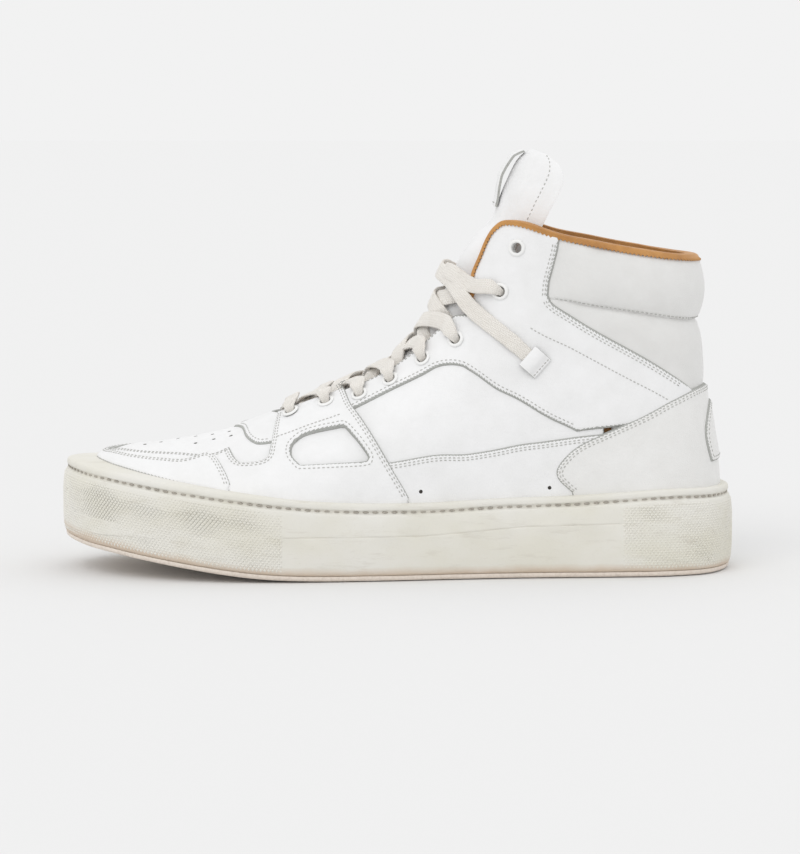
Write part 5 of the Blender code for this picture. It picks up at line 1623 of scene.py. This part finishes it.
def tongue_frame(where):
    """Centre point and forward-facing normal of the tongue at a row."""
    centre = row_blend(TONGUE_LINE, where)
    ahead = row_blend(TONGUE_LINE, np.minimum(where + 0.05, len(TONGUE_LINE) - 1.0))
    behind = row_blend(TONGUE_LINE, np.maximum(where - 0.05, 0.0))
    run = (ahead - behind) / np.linalg.norm(ahead - behind, axis=-1, keepdims=True)
    return centre, np.stack([-run[..., 1], run[..., 0]], -1)


def shell_samples():
    """Points and normals of the two sides that the tongue lies under."""
    sides = []
    for start, end in ((0.2, 0.8), (1.8, 1.2)):
        g, t = np.meshgrid(np.linspace(start, end, 121), np.linspace(0.3, 1, 71), indexing="ij")
        reach = np.where(np.minimum(g, 2 - g) < 0.42, 0.99, 0.93)
        keep = (t < reach).reshape(-1)
        sides.append((shell(g, t).reshape(-1, 3)[keep], shell_normal(g, t).reshape(-1, 3)[keep],
                      (t > reach - 0.012).reshape(-1)[keep]))
    return sides


SAMPLES = shell_samples()


def tongue_point(where, y, depth=0.0):
    """A point of the tongue's face, kept under the facings, at a depth behind the face."""
    where, y = np.broadcast_arrays(np.asarray(where, float), np.asarray(y, float))
    shape = where.shape
    where, y = where.reshape(-1), y.reshape(-1)
    centre, normal = tongue_frame(where)
    bow = row_blend(TONGUE_BOW, where) * y * y
    inwards = np.stack([normal[:, 0], 0 * y, normal[:, 1]], -1)
    _, upright = tongue_frame(np.minimum(where, TAB_UPRIGHT))
    swept = np.stack([upright[:, 0], 0 * y, upright[:, 1]], -1) * bow[:, None]
    spots = np.stack([centre[:, 0], y, centre[:, 1]], -1) - swept
    hold = np.clip((10.2 - where) / 0.8, 0, 1)
    for number, (surface, outward, border) in enumerate(SAMPLES):
        mine = np.nonzero((y < 0) == (number == 0))[0]
        for _ in range(4):
            for first in range(0, len(mine), 400):
                some = mine[first:first + 400]
                if not len(some):
                    continue
                gap = spots[some][:, None] - surface
                near = np.argmin((gap * gap).sum(-1), axis=1)
                over = ((spots[some] - surface[near]) * outward[near]).sum(-1) + TONGUE_CLEARANCE
                over = np.where((over > 0) & ~border[near], over, 0) * hold[some]
                spots[some] -= inwards[some] * over[:, None] * 1.05
    depth = np.broadcast_to(np.asarray(depth, float), shape).reshape(-1)
    return (spots - inwards * depth[:, None]).reshape(shape + (3,))


def tongue_solid(name, first, last, rows, columns, face_of, back_of, materials, share=1.0):
    """A slab of the tongue between two rows, with a face and a back."""
    where = np.linspace(first, last, rows)[:, None]
    across = np.sin(np.linspace(-1, 1, columns) * math.pi / 2 * 0.93) / math.sin(math.pi / 2 * 0.93)
    across = across[None, :]
    half = row_blend(TONGUE_WIDTH, where[:, 0])[:, None] * share
    where_all = np.broadcast_to(where, (rows, columns))
    y = across * half
    spots = tongue_point(where_all, y)
    for _ in range(6):
        spots[1:-1] = (spots[1:-1] * 2 + spots[:-2] + spots[2:]) / 4
        spots[:, 1:-1] = (spots[:, 1:-1] * 4 + spots[:, :-2] + spots[:, 2:]) / 6
    _, normal = tongue_frame(where_all)
    inwards = np.stack([normal[..., 0], 0 * y, normal[..., 1]], -1)
    edge = np.abs(np.broadcast_to(across, (rows, columns)))
    front = spots - inwards * face_of(where_all, y, edge)[..., None]
    back = spots - inwards * back_of(where_all, y, edge)[..., None]
    points = np.concatenate([front.reshape(-1, 3), back.reshape(-1, 3)])
    count = rows * columns
    faces, kinds = [], []
    for r in range(rows - 1):
        for c in range(columns - 1):
            a = r * columns + c
            quad = (a, a + 1, a + 1 + columns, a + columns)
            faces.append(quad)
            kinds.append(0)
            faces.append(tuple(k + count for k in quad[::-1]))
            kinds.append(1)
    rim = list(range(columns)) + [r * columns + columns - 1 for r in range(1, rows)]
    rim += [(rows - 1) * columns + c for c in range(columns - 2, -1, -1)]
    rim += [r * columns for r in range(rows - 2, 0, -1)]
    for k, a in enumerate(rim):
        b = rim[(k + 1) % len(rim)]
        faces.append((a, b, b + count, a + count))
        kinds.append(0)
    return mesh_object(name, points, faces, materials, kinds, sharp=60.0, merge=0)


def soft(value, low, high):
    """0 below low, 1 above high and smooth between."""
    value = np.clip((value - low) / (high - low), 0, 1)
    return value * value * (3 - 2 * value)


def tongue_face(where, y, edge):
    """How far the leather's face dips behind the tongue's middle surface: edges and folds."""
    roll = 1.6 * soft(edge, 0.86, 1.0) + 1.3 * soft(where, TONGUE_END - 0.35, TONGUE_END)
    crease = 0.35 * np.exp(-((where - 9.2) / 0.28) ** 2) + 0.18 * np.sin(2.3 * where + 0.09 * y)
    full = soft(where, 0.8, 2.5) * (1 - soft(where, 8.0, 9.0))
    cushion = -0.9 * np.clip(np.cos(y / 13.0), 0, 1) * full
    return roll + crease * (1 - edge ** 2) + cushion


def tongue_back(where, _, edge):
    """Depth of the back: padded below the shoe's top line, thin above it."""
    pad = np.interp(where, [0.0, 1.0, 8.8, 9.8, 14.6], [3.4, 4.0, 4.0, 2.9, 2.5])
    return pad - (pad - 2.1) * soft(edge, 0.8, 1.0)


def build_tongue():
    """The padded tongue and its tab in one piece, bending at the tab's fold, and its lining."""
    piece = tongue_solid("tongue_leather", 0.0, TONGUE_END, 110, 41, tongue_face, tongue_back,
                         [WHITE_LEATHER, WHITE_LEATHER])
    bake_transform(piece)
    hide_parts("tongue", "tongue_top_tab")
    piece = tongue_solid(
        "tongue_lining_leather", 0.0, TONGUE_END - 0.45, 90, 29,
        lambda where, y, edge: tongue_back(where, y, 0 * edge) + 0.25,
        lambda where, y, edge: tongue_back(where, y, 0 * edge) + 1.2,
        [TAN_LEATHER, TAN_LEATHER], 0.9)
    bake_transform(piece)
    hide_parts("tongue_lining")


def tab_spot(row, y, lift):
    """A point in front of the tongue's top tab."""
    _, normal = tongue_frame(np.array(float(row)))
    return tongue_point(np.array(float(row)), np.array(float(y))) + np.array(
        [normal[0], 0.0, normal[1]]) * lift


def build_pull_loop():
    """A narrow leather loop sewn to the front of the tab and standing a little off it."""
    rows = np.linspace(9.75, 13.5, 34)
    stand = np.interp(rows, [9.75, 10.2, 11.5, 12.8, 13.2, 13.5], [0.5, 0.9, 2.9, 2.6, 1.5, 0.8])
    points, faces, kinds = [], [], []
    cross = [(-1, 0), (-0.92, 0.95), (-0.8, 1.15), (0, 1.25), (0.8, 1.15), (0.92, 0.95), (1, 0),
             (0.9, -0.1), (-0.9, -0.1)]
    size = len(cross)
    for k, (row, rise) in enumerate(zip(rows, stand)):
        for share, thick in cross:
            points.append(tab_spot(row, share * 5.5, rise + thick))
        if k:
            for j in range(size):
                n = (j + 1) % size
                faces.append(((k - 1) * size + j, (k - 1) * size + n, k * size + n, k * size + j))
                kinds.append(int(j in (0, size - 3)))
    faces.append(tuple(range(size)))
    faces.append(tuple(range(size * (len(rows) - 1), size * len(rows)))[::-1])
    kinds += [1, 1]
    piece = mesh_object("pull_loop_strap", points, faces, LEATHER, kinds, sharp=40.0, merge=0)
    finish_piece(piece, "pull_loop", ["pull_loop"])
    seams = Seams(1.5, 0.5, 0.3)
    for y in (-3.0, -1.0, 1.0, 3.0):
        seams.stitch(tab_spot(9.95, y, 2.0), np.array([0.0, 1.0, 0.0]),
                     np.array([-0.9, 0.0, 0.4]))
    stitches = seams.piece("pull_loop_stitching", THREAD)
    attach(stitches, "pull_loop")


def build_tab_stitching():
    """A row of stitches just inside the edge of the tab."""
    seams = Seams(1.45, 0.5, 0.3)
    rows = np.linspace(9.7, 14.25, 60)
    for sign in (-1, 1):
        spots = []
        for row in rows:
            half = float(row_blend(TONGUE_WIDTH, np.array(row))) - 3.6
            spots.append(tab_spot(row, sign * half, -0.15))
        spots = np.array(spots)
        far = np.concatenate([[0], np.cumsum(np.linalg.norm(np.diff(spots, axis=0), axis=1))])
        at = np.arange(0, far[-1], 2.1)
        line = np.stack([np.interp(at, far, spots[:, k]) for k in range(3)], 1)
        for a, b in zip(line[:-1], line[1:]):
            ahead = (b - a) / np.linalg.norm(b - a)
            normal = np.array([-0.75, sign * 0.6, 0.25])
            normal = normal - ahead * (normal @ ahead)
            seams.stitch((a + b) / 2, ahead, normal / np.linalg.norm(normal))
    piece = seams.piece("tab_stitching", THREAD)
    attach(piece, "tongue_top_tab")


build_eyelets()
build_keepers()
build_tongue()
build_pull_loop()
build_tab_stitching()


# ---------------------------------------------------------------- lace
FACING_EDGE = [(0.675, 0.874), (0.626, 0.868), (0.579, 0.861), (0.535, 0.865), (0.489, 0.865),
               (0.450, 0.838), (0.399, 0.862)]
CROSSING_ROWS = (2.07, 2.9, 3.67, 4.6, 5.5, 6.3)
LACE_WIDE, LACE_THICK = 7.6, 1.3
LACE_NARROW, LACE_BUNCHED = 3.3, 2.3
UNDER_FACING = -4.9


def off_side(where, outer, offset):
    """A point off the outer side of the shoe, or the same point of the inner side."""
    g, t = where
    g, t = np.array(g if outer else 2 - g), np.array(t)
    return shell(g, t) + shell_normal(g, t) * offset


def tongue_middle(row, lift):
    """A point in front of the middle of the tongue."""
    spot, normal = tongue_frame(np.array(row))
    return np.array([spot[0] + normal[0] * lift, 0.0, spot[1] + normal[1] * lift])


def over_tongue(point, lift):
    """The point, moved off the tongue's face where it lies closer than the lift."""
    rows = np.linspace(0.5, 9.0, 60)
    faces = tongue_point(rows, np.full(60, point[1]))
    close = int(np.argmin(((faces - point) ** 2).sum(1)))
    _, normal = tongue_frame(rows[close])
    outward = np.array([normal[0], 0.0, normal[1]])
    short = lift - float((point - faces[close]) @ outward)
    return point + outward * max(short, 0.0)


def beside(index, distance):
    """A point of the pattern some way from an eyelet's middle towards the facing's edge."""
    g, t = EYELETS[index]
    edge_g, edge_t = FACING_EDGE[index]
    span = float(np.linalg.norm(shell(edge_g, edge_t) - shell(g, t)))
    share = distance / span
    return g + (edge_g - g) * share, t + (edge_t - t) * share


def through_eyelet(index, outer):
    """From outside the leather, into an eyelet and out behind the lining."""
    top = eyelet_height(index)
    return [(off_side(beside(index, 3.9), outer, top + 2.4), 7.0),
            (off_side(beside(index, 1.0), outer, top + 1.8), 4.4),
            (off_side(beside(index, -0.2), outer, top - 1.2), LACE_NARROW),
            (off_side(beside(index, 0.0), outer, -3.4), LACE_NARROW),
            (off_side(beside(index, 2.0), outer, UNDER_FACING - 0.4), 4.0)]


def lace_half(outer, extra):
    """Points and widths of one half of the lace, from the lowest eyelet to the keeper."""
    run = []
    for index in range(6):
        top = eyelet_height(index)
        if index:
            run.append((off_side(FACING_EDGE[index], outer, top + 1.3), LACE_WIDE))
        run += through_eyelet(index, outer)
        run.append((over_tongue(off_side(beside(index, 8.5), outer, UNDER_FACING), 1.2), 6.4))
        if index == 5:
            run.append((tab_spot(6.05, -11.0 if outer else 11.0, 2.4 + extra / 2), LACE_WIDE))
        run.append((tongue_middle(CROSSING_ROWS[index], 2.9 + extra), LACE_WIDE))
        outer = not outer
    top = OVERLAY_TOP
    run.append((tab_spot(6.55, -12.0 if outer else 12.0, 2.6 + extra / 2), LACE_WIDE))
    run.append((over_tongue(off_side(beside(6, 13.0), outer, UNDER_FACING), 1.3), 6.4))
    run += through_eyelet(6, outer)[::-1]
    run.append((off_side(FACING_EDGE[6], outer, top + 1.6), 6.8))
    front = tongue_middle(7.05, 4.6 + extra)
    run.append((front + (2.5, -11.0 if outer else 11.0, 0.6), LACE_WIDE))
    run.append((front, LACE_WIDE))
    outer = not outer
    run.append((front + (5.0, -14.0 if outer else 14.0, -4.5), LACE_WIDE))
    at, normal, _, depth = keeper_axes(KEEPER[0] if outer else 2 - KEEPER[0])
    run.append((off_side((0.408, 0.80), outer, top + 2.0), LACE_WIDE))
    run.append((at - depth * 12 + normal * 3.5, 7.0))
    run.append((at - depth * 5 + normal * 3.1, 6.4))
    run.append((at + depth * 1.6 + normal * 3.1, 6.2))
    return run


def lace_route():
    """The lace from the outer keeper, down to the bar over the toe end and up to the inner one."""
    bar = [(off_side(FACING_EDGE[0], True, 5.1), LACE_WIDE), (tongue_middle(1.55, 4.6), LACE_WIDE),
           (off_side(FACING_EDGE[0], False, 5.1), LACE_WIDE)]
    return lace_half(True, 0.0)[::-1] + bar + lace_half(False, 1.8)


def rounded_route(route, step=1.1):
    """The route as one smooth line with evenly spaced points, and its width at each."""
    spots = np.array([spot for spot, _ in route])
    widths = np.array([width for _, width in route])
    knots = np.concatenate([[0], np.cumsum(np.linalg.norm(np.diff(spots, axis=0), axis=1) ** 0.5)])
    tangent = np.zeros_like(spots)
    gap = np.diff(knots)[:, None]
    slope = np.diff(spots, axis=0) / gap
    tangent[1:-1] = (slope[:-1] * gap[1:] + slope[1:] * gap[:-1]) / (gap[:-1] + gap[1:])
    tangent[0], tangent[-1] = slope[0], slope[-1]
    line, wide = [], []
    for k in range(len(spots) - 1):
        size = knots[k + 1] - knots[k]
        for u in np.linspace(0, 1, 14, endpoint=False):
            a, b = 2 * u ** 3 - 3 * u ** 2 + 1, u ** 3 - 2 * u ** 2 + u
            c, d = -2 * u ** 3 + 3 * u ** 2, u ** 3 - u ** 2
            line.append(spots[k] * a + tangent[k] * size * b + spots[k + 1] * c
                        + tangent[k + 1] * size * d)
            wide.append(widths[k] + (widths[k + 1] - widths[k]) * c)
    line = np.array(line + [spots[-1]])
    wide = np.array(wide + [widths[-1]])
    far = np.concatenate([[0], np.cumsum(np.linalg.norm(np.diff(line, axis=0), axis=1))])
    at = np.linspace(0, far[-1], round(far[-1] / step) + 1)
    line = np.stack([np.interp(at, far, line[:, k]) for k in range(3)], 1)
    return line, np.interp(at, far, wide), at


def lace_sides(line):
    """Across and facing directions of the flat lace at each point of its line."""
    ahead = np.gradient(line, axis=0)
    ahead = ahead / np.linalg.norm(ahead, axis=1, keepdims=True)
    rows = np.linspace(0, 9.5, 96)
    centre, normal = tongue_frame(rows)
    near = np.argmin(((line[:, None, ::2] - centre) ** 2).sum(-1), axis=1)
    hint = np.stack([normal[near, 1], 0 * near, -normal[near, 0]], -1)
    back = np.clip((line[:, 0] - 38) / 15, 0, 1)[:, None]
    hint = hint * (1 - back) + np.array([0.66, 0.0, 0.75]) * back
    across = hint - ahead * (hint * ahead).sum(1, keepdims=True)
    for _ in range(8):
        across[1:-1] = across[:-2] + across[1:-1] * 2 + across[2:]
        across = across - ahead * (across * ahead).sum(1, keepdims=True)
        across = across / np.linalg.norm(across, axis=1, keepdims=True)
    return across, np.cross(across, ahead)


def build_lace():
    """A flat cotton lace, gathered where it goes through an eyelet."""
    line, wide, far = rounded_route(lace_route())
    across, facing = lace_sides(line)
    thick = np.interp(wide, [LACE_NARROW, 5.5, LACE_WIDE], [LACE_BUNCHED, 1.6, LACE_THICK])
    section = [(-1, 0), (-0.94, 0.62), (-0.75, 0.92), (-0.38, 1.0), (0, 0.94), (0.38, 1.0),
               (0.75, 0.92), (0.94, 0.62), (1, 0)]
    section += [(u, -v) for u, v in section[-2:0:-1]]
    size = len(section)
    wander = 0.06 * np.sin(far * 2.2) + 0.05 * np.sin(far * 0.9 + 1.0)
    points, weave, faces = [], [], []
    for k, spot in enumerate(line):
        for u, v in section:
            points.append(spot + across[k] * (u * wide[k] / 2 + wander[k] * np.sign(u))
                          + facing[k] * v * thick[k] / 2)
            weave.append((far[k], (u + 1) / 2, 0.0))
        if k:
            for j in range(size):
                n = (j + 1) % size
                a, b = (k - 1) * size, k * size
                faces.append((a + j, a + n, b + n, b + j))
    faces.append(tuple(range(size))[::-1])
    faces.append(tuple(range(size * (len(line) - 1), size * len(line))))
    piece = mesh_object("lace_ribbon", points, faces, [LACE_COTTON], sharp=60.0, merge=0)
    layer = piece.data.attributes.new("weave", "FLOAT_VECTOR", "POINT")
    layer.data.foreach_set("vector", np.array(weave, np.float32).reshape(-1))
    finish_piece(piece, "shoe", ["lace"])


build_lace()


# ---------------------------------------------------------------- hidden CAD parts
def dress_hidden_parts():
    """Felt and foam materials on the CAD parts that stay as they are."""
    board = felt_material("insole_board_felt", (0.55, 0.42, 0.28), (0.40, 0.29, 0.18))
    foam = felt_material("midsole_foam", (0.60, 0.58, 0.55), (0.48, 0.46, 0.43))
    stiff = felt_material("stiffener_felt", (0.62, 0.58, 0.50), (0.48, 0.44, 0.37))
    for name, mat in (("insole_board", board), ("midsole_filler", foam),
                      ("heel_stiffener", stiff), ("toe_puff", stiff)):
        NODES[name].material_slots[0].material = mat


SEAM_PIECE = SEAMS.piece("upper_stitching", THREAD)
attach(SEAM_PIECE, "shoe")
dress_hidden_parts()
